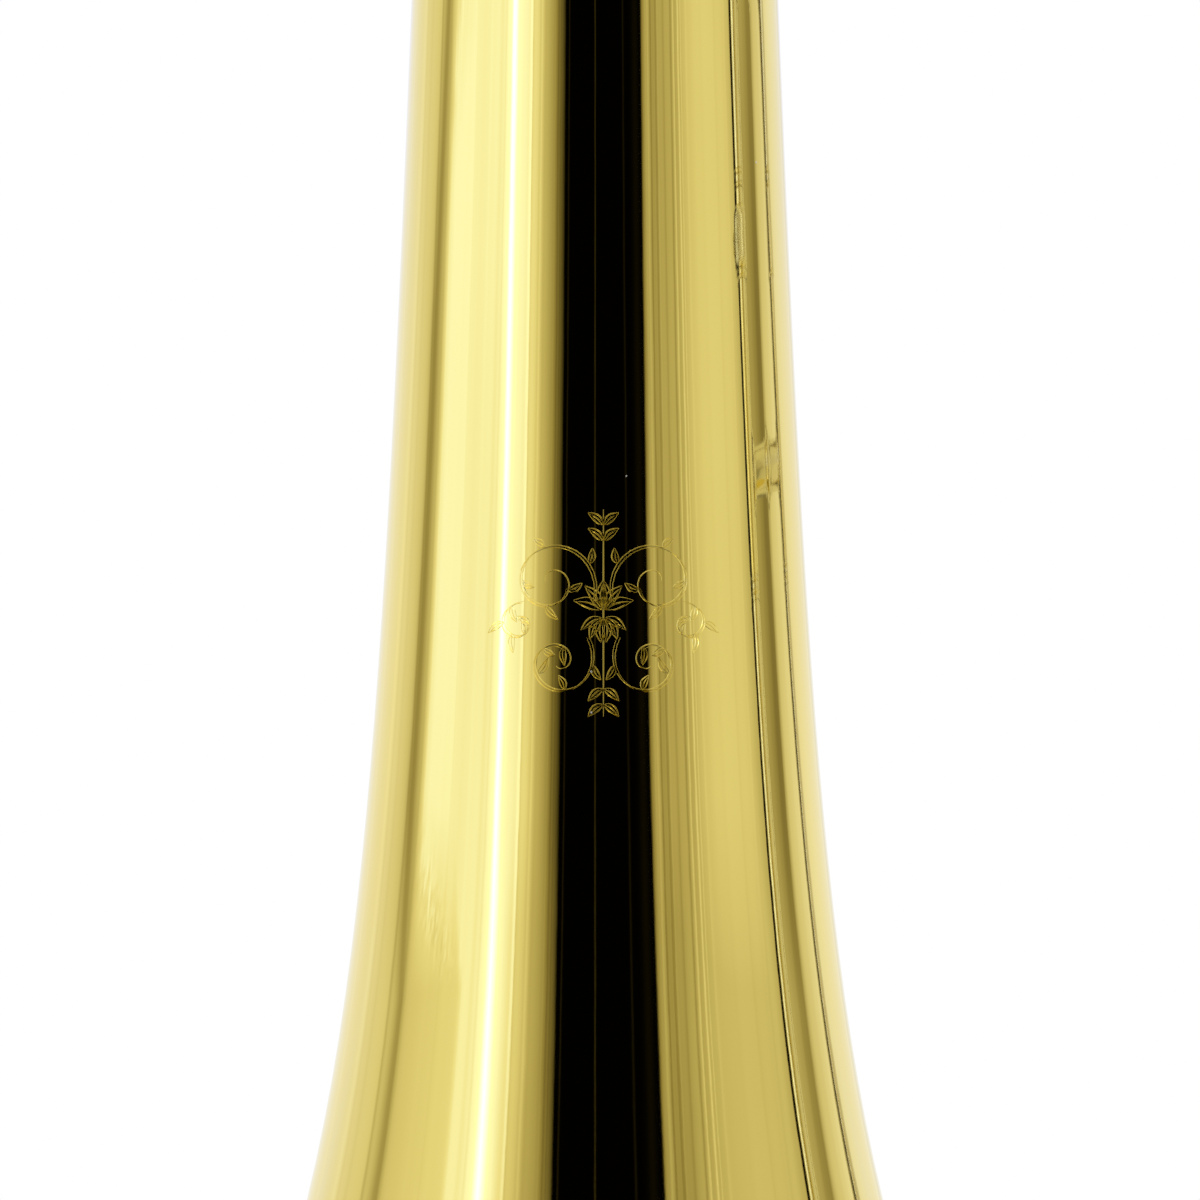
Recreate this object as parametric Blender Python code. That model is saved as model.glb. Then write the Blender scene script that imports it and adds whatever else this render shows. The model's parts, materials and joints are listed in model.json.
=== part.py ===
"""A bass trombone with two independent in-line rotary valves, in metres, +Z up.

The bell's axis is the Z axis and its mouth is the plane z = 0, facing down. The neck pipe and the hand slide
run down a second line at x = LINE_SPACING. The bell section lies in the XZ plane and the hand slide in a YZ
plane. Every piece is a closed solid. Pieces that touch stay a small clearance apart.
"""

import math

import bmesh
import bpy
from mathutils import Matrix, Vector

MM = 0.001
X = Vector((1, 0, 0))
Y = Vector((0, 1, 0))
Z = Vector((0, 0, 1))

# Fits
GAP = 0.3 * MM
SLIP = 0.35 * MM
HAND_SLIP = 0.2 * MM
RUNNING = 0.6 * MM

# Bell, a cone with an exponential flare
BELL_RADIUS = 120.65 * MM
BELL_LENGTH = 486 * MM
BELL_TAIL_RADIUS = 12.5 * MM
BELL_TAPER = 0.0353
FLARE_LENGTH = 35.78 * MM
BELL_WALL = 0.5 * MM
RIM_HEIGHT = 3.4 * MM
RIM_DEPTH = 3.2 * MM
RIM_EDGE = 0.5 * MM

# Main lines
LINE_SPACING = 143 * MM
SLIDE_SPACING = 88 * MM

# Ordinary tubing of the valve section
TUBE_RADIUS = 8.0 * MM
TUBE_WALL = 0.6 * MM
SLEEVE_WALL = 0.7 * MM
COLLAR_STEP = 0.5 * MM

# Main tuning slide
RECEIVER_RISE = 90 * MM
RECEIVER_COLLAR = 6 * MM
RECEIVER_BEAD = 0.9 * MM
BELL_SEAT = 16 * MM
BELL_LEG_RADIUS = 12.0 * MM
NECK_LEG_RADIUS = 9.55 * MM
LEG_WALL = 0.6 * MM
LEG_DROP = 6 * MM
NECK_RISE = 74 * MM
LEG_COLLAR = 22 * MM
BOW_SEAT = 8 * MM
BOW_WALL = 0.6 * MM

# Rotary valves, turning about axes along Y
VALVE_RISE = 34 * MM
VALVE_SPACING = 72 * MM
ROTOR_RADIUS = 18.6 * MM
ROTOR_FRONT = -10.1 * MM
ROTOR_BACK = 10.0 * MM
PASSAGE_RADIUS = 7.1 * MM
CASING_WALL = 1.8 * MM
CASING_HALF = 13 * MM
CASING_END = 2.5 * MM
PLATE_THICK = 2.4 * MM
KNUCKLE_RADIUS = 8.6 * MM
KNUCKLE_ROOT = 14 * MM
KNUCKLE_END = 24 * MM
SPINDLE_RADIUS = 3.4 * MM
SPINDLE_FRONT = -12.6 * MM
SPINDLE_BACK = 22 * MM
BEARING_HUB = 15.5 * MM
BEARING_HUB_RADIUS = 6.5 * MM
CAP_DEPTH = 4 * MM
CAP_SKIRT = -9.3 * MM
CAP_WALL = 0.8 * MM
CAP_CHAMFER = 4 * MM
VALVE_BEND = 20 * MM

# Angles of the valves' ports, from +X towards +Z
UPPER_RIGHT = math.pi / 4
UPPER_LEFT = 3 * math.pi / 4
LOWER_LEFT = -3 * math.pi / 4
LOWER_RIGHT = -math.pi / 4

# Linkage: each lever pulls a link, and the link turns a stop arm
ROTOR_TURN = math.radians(90)
LEVER_TURN = math.radians(22)
STOP_ARM = 12 * MM
STOP_ARM_WIDTH = 4 * MM
STOP_HUB_RADIUS = 6.2 * MM
STOP_HUB_START = 16 * MM
STOP_HUB_END = 20.5 * MM
STOP_POST_RADIUS = 2 * MM
LEVER_THICK = 4.2 * MM
LINK_THICK = 3.6 * MM
LINK_EYE_RADIUS = 3.4 * MM
LINK_ROD_RADIUS = 1.3 * MM
LINK_PIN_RADIUS = 1.2 * MM
F_LEVER_START = 20 * MM
LEVER_HEIGHT = 5 * MM
LEVER_INSET = 0.2 * MM
LEVER_HUB_RADIUS = 5 * MM
AXLE_RADIUS = 2.5 * MM
AXLE_END = 46 * MM
PAD_START = 51 * MM
PAD_LENGTH = 25 * MM
PAD_THICK = 2.4 * MM
PAD_CORNER = 5 * MM
PAD_RISE = 1.9 * MM
F_PAD_WIDTH = 12 * MM
GB_PAD_WIDTH = 17 * MM

# Springs
SPRING_WIRE = 0.55 * MM
SPRING_COIL = 3.9 * MM
SPRING_CURLS = 4
SPRING_PITCH = 1.75 * MM
KEY_SPRING_WIRE = 0.25 * MM
KEY_SPRING_CURLS = 3
KEY_SPRING_PITCH = 0.95 * MM

# Attachment loops: F in front of the bell section, G flat behind it
LOOP_OFFSET = 32 * MM
LOOP_FAR_X = 34 * MM
LOOP_BEND = 14 * MM
LOOP_LEAD = 15 * MM
LOOP_OVERLAP = 15 * MM
RECEIVER_LENGTH = 120 * MM
F_RECEIVER_RISE = 328 * MM
F_BOW_RISE = 24 * MM
GB_RECEIVER_RISE = 174 * MM
GB_BOW_RISE = 23 * MM
GB_RUN_DROP = 8 * MM
SLIDE_COLLAR = 20 * MM
SLIDE_BEAD = 0.7 * MM
F_BRACE_DROP = 68 * MM
GB_BRACE_DROP = 66 * MM

# Slide receiver, tenon and lock nut
SLIDE_RECEIVER_BOTTOM = 275 * MM
SLIDE_RECEIVER_LENGTH = 31 * MM
GOOSENECK_SEAT = 7.7 * MM
SLIDE_RECEIVER_RADIUS = 11.2 * MM
TENON_RADIUS = 9.6 * MM
TENON_LENGTH = 21 * MM
TENON_COLLAR_RADIUS = 11.8 * MM
TENON_COLLAR = 9.4 * MM
NUT_RADIUS = 14.5 * MM
NUT_SHOULDER = 3 * MM
NUT_HEIGHT = 20 * MM

# Hand slide
BORE_RADIUS = 7.135 * MM
INNER_RADIUS = 7.6 * MM
STOCKING_RADIUS = 7.75 * MM
STOCKING_LENGTH = 95 * MM
INNER_END = 7 * MM
OUTER_WALL = 0.3 * MM
OUTER_DROP = 30 * MM
OUTER_LENGTH = 660 * MM
FERRULE_RADIUS = 9.1 * MM
FERRULE_LENGTH = 57 * MM
END_SLEEVE_WALL = 0.4 * MM
END_SLEEVE_LENGTH = 62 * MM
BARREL_RADIUS = 10.5 * MM
BARREL_LENGTH = 60 * MM
BARREL_DROP = 7 * MM
BARREL_CROWN = 6 * MM
INNER_BRACE_DROP = 15 * MM
OUTER_BRACE_DROP = 47 * MM
SLIDE_KNOB = 8 * MM
LEADPIPE_RADIUS = 6.85 * MM
LEADPIPE_WALL = 0.5 * MM
LEADPIPE_LENGTH = 240 * MM
CROOK_RADIUS = 8.75 * MM
CROOK_STRAIGHT = 22 * MM
BUMPER_RADIUS = 6 * MM
BUMPER_STEM = 10 * MM
FOOT_RADIUS = 7 * MM
FOOT_HEIGHT = 8 * MM
LOCK_RING_WALL = 1.3 * MM
LOCK_RING_HEIGHT = 8 * MM

# Water key on the crook
KEY_HOLE_DROP = 17 * MM
KEY_REACH = 12 * MM
KEY_TAIL = 25 * MM
KEY_PIVOT_Y = -12.6 * MM
NIPPLE_RADIUS = 3.6 * MM
NIPPLE_END = -11.2 * MM
KEY_HOLE_RADIUS = 2.0 * MM
KEY_PAD_RADIUS = 4.6 * MM
KEY_PAD_THICK = 1.8 * MM
KEY_ARM_THICK = 1.8 * MM
KEY_ARM_SINK = 0.45 * MM
KEY_TAB_THICK = 1.4 * MM
KEY_HUB_RADIUS = 2.1 * MM
KEY_HUB_HALF = 4.6 * MM
KEY_PIN_RADIUS = 1.0 * MM
EAR_THICK = 1.2 * MM
EAR_SINK = 0.5 * MM
KEY_ARM_WIDTH = 4 * MM

# Mouthpiece
MOUTHPIECE_RECEIVER_LENGTH = 39 * MM
MOUTHPIECE_RECEIVER_RADIUS = 9.6 * MM
MOUTHPIECE_RECEIVER_LIP = 4 * MM
RECEIVER_STOP = 3 * MM
SHANK_RADIUS = 6.45 * MM
SHANK_TAPER = 0.015
SHANK_DEPTH = 27 * MM
MOUTHPIECE_LENGTH = 86 * MM
RIM_RADIUS = 19.5 * MM
RIM_ROUND = 1.6 * MM
RIM_STEP = 2 * MM
RIM_BAND = 5 * MM
STEM_LENGTH = 14 * MM
BOWL_FOOT = 22 * MM
BOWL_FOOT_RADIUS = 9 * MM
BOWL_MIDDLE = 31 * MM
BOWL_MIDDLE_RADIUS = 14 * MM
BOWL_SHOULDER = 14 * MM
BOWL_SHOULDER_RADIUS = 17.5 * MM
CUP_RADIUS = 13.8 * MM
CUP_WALL_DEPTH = 8 * MM
CUP_WALL_RADIUS = 12.7 * MM
CUP_MIDDLE_DEPTH = 20 * MM
CUP_MIDDLE_RADIUS = 8.3 * MM
THROAT_DEPTH = 28 * MM
THROAT_LENGTH = 5 * MM
THROAT_RADIUS = 3.6 * MM
SHANK_WALL = 0.8 * MM

# Braces
BRACE_RADIUS = 3.2 * MM
BRACE_FLANGE_RADIUS = 5.6 * MM
BRACE_FLANGE = 2.2 * MM
BRACE_KNOB = 5 * MM
LOWER_BRACE_DROP = 8 * MM
UPPER_BRACE_RISE = 19 * MM
TUNING_BRACE_DROP = 11 * MM

# Resolution
BELL_SIDES = 28
BELL_STATIONS = 10
TUBE_SIDES = 12
LEG_SIDES = 16
VALVE_SIDES = 20
SMALL_SIDES = 8
BEND_STEP = math.radians(30)
CURL_POINTS = 8
PLATE_STEPS = 3

# Values that follow
VALVE_X = LINE_SPACING - (KNUCKLE_END + GAP + VALVE_BEND * math.tan(math.pi / 8)) * math.cos(math.pi / 4)
CASING_RADIUS = ROTOR_RADIUS + RUNNING + CASING_WALL
FLARE = BELL_RADIUS - BELL_TAIL_RADIUS - BELL_TAPER * BELL_LENGTH
LEVER_ARM = STOP_ARM * math.sin(ROTOR_TURN / 2) / math.sin(LEVER_TURN / 2)
LINK_X = VALVE_X - STOP_ARM * math.cos(ROTOR_TURN / 2)
LEVER_X = LINK_X - LEVER_ARM * math.cos(LEVER_TURN / 2)
F_LINK_START = F_LEVER_START + LEVER_THICK + RUNNING
GB_LEVER_START = F_LINK_START + LINK_THICK + RUNNING
GB_LINK_START = GB_LEVER_START + LEVER_THICK + RUNNING
OUTER_INNER_RADIUS = STOCKING_RADIUS + HAND_SLIP
OUTER_RADIUS = OUTER_INNER_RADIUS + OUTER_WALL
END_SLEEVE_RADIUS = OUTER_RADIUS + GAP + END_SLEEVE_WALL
BARREL_BORE = END_SLEEVE_RADIUS + GAP
SLIDE_RECEIVER_TOP = SLIDE_RECEIVER_BOTTOM + SLIDE_RECEIVER_LENGTH
F_VALVE_Z = SLIDE_RECEIVER_TOP + VALVE_RISE
GB_VALVE_Z = F_VALVE_Z + VALVE_SPACING
GB_RUN_Z = F_VALVE_Z - GB_RUN_DROP
NECK_TUBE_TOP = GB_VALVE_Z + NECK_RISE
RECEIVER_TOP = NECK_TUBE_TOP + RECEIVER_RISE
UPPER_BRACE_Z = NECK_TUBE_TOP + UPPER_BRACE_RISE
F_RECEIVER_TOP = F_VALVE_Z + F_RECEIVER_RISE
GB_RECEIVER_TOP = GB_VALVE_Z + GB_RECEIVER_RISE
GOOSENECK_BOTTOM = SLIDE_RECEIVER_TOP - GOOSENECK_SEAT
LOWER_BRACE_Z = SLIDE_RECEIVER_TOP - LOWER_BRACE_DROP
TENON_TOP = SLIDE_RECEIVER_BOTTOM + TENON_LENGTH
TENON_COLLAR_TOP = SLIDE_RECEIVER_BOTTOM - GAP
NUT_BOTTOM = TENON_COLLAR_TOP - TENON_COLLAR - GAP - NUT_SHOULDER
BARREL_TOP = SLIDE_RECEIVER_BOTTOM - BARREL_DROP
BARREL_BOTTOM = BARREL_TOP - BARREL_LENGTH
MOUTHPIECE_RECEIVER_TOP = BARREL_TOP + MOUTHPIECE_RECEIVER_LENGTH
INNER_BRACE_Z = NUT_BOTTOM - INNER_BRACE_DROP
OUTER_TOP = NUT_BOTTOM - OUTER_DROP
OUTER_BRACE_Z = OUTER_TOP - OUTER_BRACE_DROP
OUTER_BOTTOM = OUTER_TOP - OUTER_LENGTH
INNER_BOTTOM = OUTER_BOTTOM + INNER_END
KEY_HOLE_Z = OUTER_BOTTOM - KEY_HOLE_DROP
KEY_PIVOT_Z = KEY_HOLE_Z + KEY_REACH
KEY_TAIL_Z = KEY_PIVOT_Z + KEY_TAIL
BOW_START = RECEIVER_TOP + GAP + LEG_COLLAR
BOW_RADIUS = LINE_SPACING / 2
CROOK_BEND_Z = OUTER_BOTTOM - CROOK_STRAIGHT
CROOK_BOTTOM = CROOK_BEND_Z - SLIDE_SPACING / 2 - CROOK_RADIUS


def clear_scene():
    for thing in list(bpy.data.objects):
        bpy.data.objects.remove(thing)


def finish(name, colour, roughness, metallic):
    look = bpy.data.materials.new(name)
    look.use_nodes = True
    shader = look.node_tree.nodes["Principled BSDF"]
    shader.inputs["Base Color"].default_value = (*colour, 1)
    shader.inputs["Roughness"].default_value = roughness
    shader.inputs["Metallic"].default_value = metallic
    return look


def add_object(name, bm, look):
    """Turns a bmesh into an object whose faces point out."""
    bmesh.ops.recalc_face_normals(bm, faces=bm.faces)
    if bm.calc_volume(signed=True) < 0:
        bmesh.ops.reverse_faces(bm, faces=bm.faces)
    mesh = bpy.data.meshes.new(name)
    bm.to_mesh(mesh)
    bm.free()
    mesh.materials.append(look)
    mesh.shade_smooth()
    mesh.set_sharp_from_angle(angle=math.radians(40))
    thing = bpy.data.objects.new(name, mesh)
    bpy.context.scene.collection.objects.link(thing)
    return thing


def stand(origin, axis=Z):
    """The placing that turns a piece's own Z axis along axis, at origin."""
    return Matrix.Translation(origin) @ axis.to_track_quat("Z", "Y").to_matrix().to_4x4()


def turned(name, outline, look, place=None, sides=TUBE_SIDES):
    """A solid of revolution. The outline's (radius, height) points run round it, or from axis to axis."""
    bm = bmesh.new()
    points = [bm.verts.new((radius, 0, height)) for radius, height in outline]
    ends = points[1:] + points[:1] if outline[0][0] > 0 else points[1:]
    edges = [bm.edges.new(pair) for pair in zip(points, ends)]
    whole = {"cent": (0, 0, 0), "axis": Z, "angle": 2 * math.pi, "use_merge": True}
    bmesh.ops.spin(bm, geom=points + edges, steps=sides, **whole)
    bmesh.ops.remove_doubles(bm, verts=bm.verts, dist=1e-7)
    bm.transform(place or Matrix())
    return add_object(name, bm, look)


def sleeve(name, outside, inside, look, place=None, sides=TUBE_SIDES):
    """A turned tube: its outside and its inside, each as (radius, height) points from bottom to top."""
    return turned(name, outside + inside[::-1], look, place, sides)


def route(corners, bend, step=None):
    """Points and directions along straight runs that round bends join."""
    stations = [(corners[0], (corners[1] - corners[0]).normalized())]
    for before, corner, after in zip(corners, corners[1:], corners[2:]):
        arrive = (corner - before).normalized()
        leave = (after - corner).normalized()
        turn = arrive.angle(leave)
        if turn < 1e-4:
            stations.append((corner, arrive))
            continue
        start = corner - arrive * bend * math.tan(turn / 2)
        centre = start + (leave - arrive * arrive.dot(leave)).normalized() * bend
        steps = math.ceil(turn / (step or BEND_STEP) - 1e-6)
        for i in range(steps + 1):
            rotation = Matrix.Rotation(turn * i / steps, 3, arrive.cross(leave))
            stations.append((centre + rotation @ (start - centre), rotation @ arrive))
    stations.append((corners[-1], (corners[-1] - corners[-2]).normalized()))
    kept = [stations[0]]
    for station in stations[1:]:
        if (station[0] - kept[-1][0]).length > 1e-6:
            kept.append(station)
    return kept


def rings(bm, stations, radii, sides):
    """Rings of vertices square to a route, carried along it without twist."""
    side = X
    loops = []
    for (point, ahead), radius in zip(stations, radii):
        if abs(side.dot(ahead)) > 0.99:
            side = Y
        side = (side - ahead * side.dot(ahead)).normalized()
        across = ahead.cross(side)
        spokes = [side * math.cos(2 * math.pi * i / sides) + across * math.sin(2 * math.pi * i / sides)
                  for i in range(sides)]
        loops.append([bm.verts.new(point + radius * spoke) for spoke in spokes])
    return loops


def bridge(bm, loops, closed):
    """Faces between each ring of vertices and the next."""
    after = loops[1:] + loops[:1] if closed else loops[1:]
    for low, high in zip(loops, after):
        for i in range(len(low)):
            j = (i + 1) % len(low)
            bm.faces.new((low[i], low[j], high[j], high[i]))


def tube(name, stations, look, radius, bore=None, sides=TUBE_SIDES):
    """A tube along a route, hollow where a bore is given. Radius and bore may be functions of the point."""

    def along(size):
        return [size(point) if callable(size) else size for point, _ in stations]

    bm = bmesh.new()
    loops = rings(bm, stations, along(radius), sides)
    if bore:
        loops += rings(bm, stations, along(bore), sides)[::-1]
        bridge(bm, loops, closed=True)
    else:
        bridge(bm, loops, closed=False)
        bm.faces.new(loops[0])
        bm.faces.new(loops[-1])
    return add_object(name, bm, look)


def block(name, size, place, look):
    """A box of the given size about its own centre."""
    bm = bmesh.new()
    bmesh.ops.create_cube(bm, size=1, matrix=place @ Matrix.Diagonal((*size, 1)))
    return add_object(name, bm, look)


def plate(name, size, corner, place, look):
    """A flat plate about its own centre, with rounded corners in its own XY plane."""
    length, width, thick = size
    outline = []
    for k, (along, across) in enumerate(((1, 1), (-1, 1), (-1, -1), (1, -1))):
        centre = Vector((along * (length / 2 - corner), across * (width / 2 - corner), -thick / 2))
        for i in range(PLATE_STEPS + 1):
            angle = math.pi / 2 * (k + i / PLATE_STEPS)
            outline.append(centre + corner * Vector((math.cos(angle), math.sin(angle), 0)))
    bm = bmesh.new()
    loops = [[bm.verts.new(point + Z * height) for point in outline] for height in (0, thick)]
    bridge(bm, loops, closed=False)
    bm.faces.new(loops[0])
    bm.faces.new(loops[1])
    bm.transform(place)
    return add_object(name, bm, look)


def rod(name, start, end, radius, look, sides=SMALL_SIDES):
    return tube(name, route([start, end], 0), look, radius, sides=sides)


def combine(target, operation, tools, solver="EXACT"):
    """Boolean tools stay in the scene as hidden helpers."""
    for tool in tools:
        modifier = target.modifiers.new(tool.name, "BOOLEAN")
        modifier.operation = operation
        modifier.solver = solver
        modifier.object = tool
        tool.hide_render = True
        tool.display_type = "WIRE"
    return target


def body(name, pivot, pieces):
    """Hangs the pieces of a moving body on an empty that stands on the joint's axis."""
    empty = bpy.data.objects.new(name + "_axis", None)
    empty.location = pivot
    bpy.context.scene.collection.objects.link(empty)
    for piece in pieces:
        piece.parent = empty
        piece.matrix_parent_inverse = Matrix.Translation(-pivot)


def bell_radius(z):
    return BELL_TAIL_RADIUS + BELL_TAPER * (BELL_LENGTH - z) + FLARE * math.exp(-z / FLARE_LENGTH)


def bell_slope(z):
    return -BELL_TAPER - FLARE / FLARE_LENGTH * math.exp(-z / FLARE_LENGTH)


def make_bell(brass):
    """The flared shell with a flattened wire rim, open at both ends."""
    start = RIM_HEIGHT
    outside = []
    inside = []
    for k in range(BELL_STATIONS + 1):
        z = start + (BELL_LENGTH - start) * (k / BELL_STATIONS) ** 2.2
        square = math.hypot(1, bell_slope(z))
        outside.append((bell_radius(z), z))
        height = BELL_LENGTH if k == BELL_STATIONS else z + BELL_WALL * bell_slope(z) / square
        inside.append((bell_radius(z) - BELL_WALL / square, height))
    rim = [
        (BELL_RADIUS - RIM_DEPTH, 0),
        (BELL_RADIUS - RIM_EDGE, 0),
        (BELL_RADIUS, RIM_EDGE),
        (BELL_RADIUS, RIM_HEIGHT - RIM_EDGE),
        (BELL_RADIUS - RIM_EDGE, RIM_HEIGHT),
        (BELL_RADIUS - RIM_DEPTH, RIM_HEIGHT),
    ]
    return turned("bell", rim + outside + inside[::-1], brass, sides=BELL_SIDES)


def make_brace(name, start, end, look, knob=0.0):
    """A round stay with a flange at each end."""
    reach = (end - start).length
    outline = [
        (0, 0),
        (BRACE_FLANGE_RADIUS, 0),
        (BRACE_FLANGE_RADIUS, BRACE_FLANGE / 2),
        (BRACE_RADIUS, BRACE_FLANGE),
    ]
    if knob:
        outline += [(BRACE_RADIUS, reach / 2 - knob), (BRACE_FLANGE_RADIUS, reach / 2)]
    far = [(radius, reach - height) for radius, height in outline[:4]]
    if knob:
        outline.append((BRACE_RADIUS, reach / 2 + knob))
    return turned(name, outline + far[::-1], look, stand(start, (end - start).normalized()), SMALL_SIDES)


def make_tuning_receivers(nickel):
    """The two sleeves that the main tuning slide's legs run in."""
    bell_bore = BELL_LEG_RADIUS + SLIP
    bell_outside = bell_bore + SLEEVE_WALL
    seat = BELL_LENGTH - BELL_SEAT
    stop = BELL_LENGTH + GAP
    bead = RECEIVER_TOP - RECEIVER_COLLAR
    low = bell_radius(seat) + GAP
    high = BELL_TAIL_RADIUS + GAP
    sleeve(
        "bell_slide_receiver",
        [
            (low + SLEEVE_WALL, seat),
            (max(high, bell_bore) + SLEEVE_WALL, stop),
            (bell_outside, stop + BELL_SEAT),
            (bell_outside, bead),
            (bell_outside + RECEIVER_BEAD, bead + COLLAR_STEP),
            (bell_outside + RECEIVER_BEAD, RECEIVER_TOP),
        ],
        [(low, seat), (high, stop), (bell_bore, stop + COLLAR_STEP), (bell_bore, RECEIVER_TOP)],
        nickel,
        sides=LEG_SIDES,
    )
    neck_bore = NECK_LEG_RADIUS + SLIP
    socket = TUBE_RADIUS + SLIP
    neck_outside = neck_bore + SLEEVE_WALL
    sleeve(
        "neck_slide_receiver",
        [
            (socket + SLEEVE_WALL, NECK_TUBE_TOP - BELL_SEAT),
            (socket + SLEEVE_WALL, NECK_TUBE_TOP - COLLAR_STEP),
            (neck_outside, NECK_TUBE_TOP + COLLAR_STEP),
            (neck_outside, bead),
            (neck_outside + RECEIVER_BEAD, bead + COLLAR_STEP),
            (neck_outside + RECEIVER_BEAD, RECEIVER_TOP),
        ],
        [
            (socket, NECK_TUBE_TOP - BELL_SEAT),
            (socket, NECK_TUBE_TOP + GAP),
            (neck_bore, NECK_TUBE_TOP + GAP + COLLAR_STEP * 2),
            (neck_bore, RECEIVER_TOP),
        ],
        nickel,
        stand(X * LINE_SPACING),
    )


def make_tuning_leg(name, line_x, seat_z, radius, bow_end, look):
    """A slide leg whose collar holds the end of the bow."""
    collar = RECEIVER_TOP + GAP
    top = BOW_START
    seat = top - BOW_SEAT
    socket = bow_end + SLIP
    low = seat_z + LEG_DROP
    return sleeve(
        name,
        [
            (radius, low),
            (radius, collar),
            (socket + SLEEVE_WALL, collar + COLLAR_STEP),
            (socket + SLEEVE_WALL, top),
        ],
        [
            (radius - LEG_WALL, low),
            (radius - LEG_WALL, seat - GAP),
            (socket, seat - GAP + COLLAR_STEP / 2),
            (socket, top),
        ],
        look,
        stand(X * line_x),
        LEG_SIDES,
    )


def make_main_tuning_slide(brass, nickel):
    bell_end = BELL_LEG_RADIUS + COLLAR_STEP
    neck_end = NECK_LEG_RADIUS + COLLAR_STEP
    apex = BOW_START + BOW_RADIUS
    seat = BOW_START - BOW_SEAT + GAP
    corners = [
        Vector((0, 0, seat)),
        Vector((0, 0, apex)),
        Vector((LINE_SPACING, 0, apex)),
        Vector((LINE_SPACING, 0, seat)),
    ]

    def taper(point):
        return bell_end + (neck_end - bell_end) * min(max(point.x / LINE_SPACING, 0), 1)

    def bore(point):
        return taper(point) - BOW_WALL

    bow = tube("tuning_bow", route(corners, BOW_RADIUS), brass, taper, bore, LEG_SIDES)
    bell_leg = make_tuning_leg("tuning_leg_bell", 0, BELL_LENGTH, BELL_LEG_RADIUS, bell_end, nickel)
    neck_leg = make_tuning_leg("tuning_leg_neck", LINE_SPACING, NECK_TUBE_TOP, NECK_LEG_RADIUS, neck_end, nickel)
    height = Z * (BOW_START - TUNING_BRACE_DROP)
    start = X * (bell_end + SLIP + SLEEVE_WALL + GAP)
    end = X * (LINE_SPACING - neck_end - SLIP - SLEEVE_WALL - GAP)
    brace = make_brace("tuning_slide_brace", start + height, end + height, nickel, BRACE_KNOB)
    body("tuning_slide", Vector((LINE_SPACING / 2, 0, RECEIVER_TOP)), [bow, bell_leg, neck_leg, brace])


def port(valve_z, angle, distance):
    """A point on the line of a valve's port."""
    return Vector((VALVE_X + distance * math.cos(angle), 0, valve_z + distance * math.sin(angle)))


def make_line_tubes(brass):
    """The main line from the slide receiver through both valves to the tuning slide."""
    reach = KNUCKLE_END + GAP
    turn = reach + VALVE_BEND * math.tan(math.pi / 8)
    foot = Vector((LINE_SPACING, 0, GOOSENECK_BOTTOM))
    head = Vector((LINE_SPACING, 0, NECK_TUBE_TOP))
    runs = {
        "gooseneck": [foot, port(F_VALVE_Z, LOWER_RIGHT, turn), port(F_VALVE_Z, LOWER_RIGHT, reach)],
        "valve_link_tube": [
            port(F_VALVE_Z, UPPER_RIGHT, reach),
            port(F_VALVE_Z, UPPER_RIGHT, turn),
            port(GB_VALVE_Z, LOWER_RIGHT, turn),
            port(GB_VALVE_Z, LOWER_RIGHT, reach),
        ],
        "neck_tube": [port(GB_VALVE_Z, UPPER_RIGHT, reach), port(GB_VALVE_Z, UPPER_RIGHT, turn), head],
    }
    for name, corners in runs.items():
        tube(name, route(corners, VALVE_BEND), brass, TUBE_RADIUS, TUBE_RADIUS - TUBE_WALL)


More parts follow.
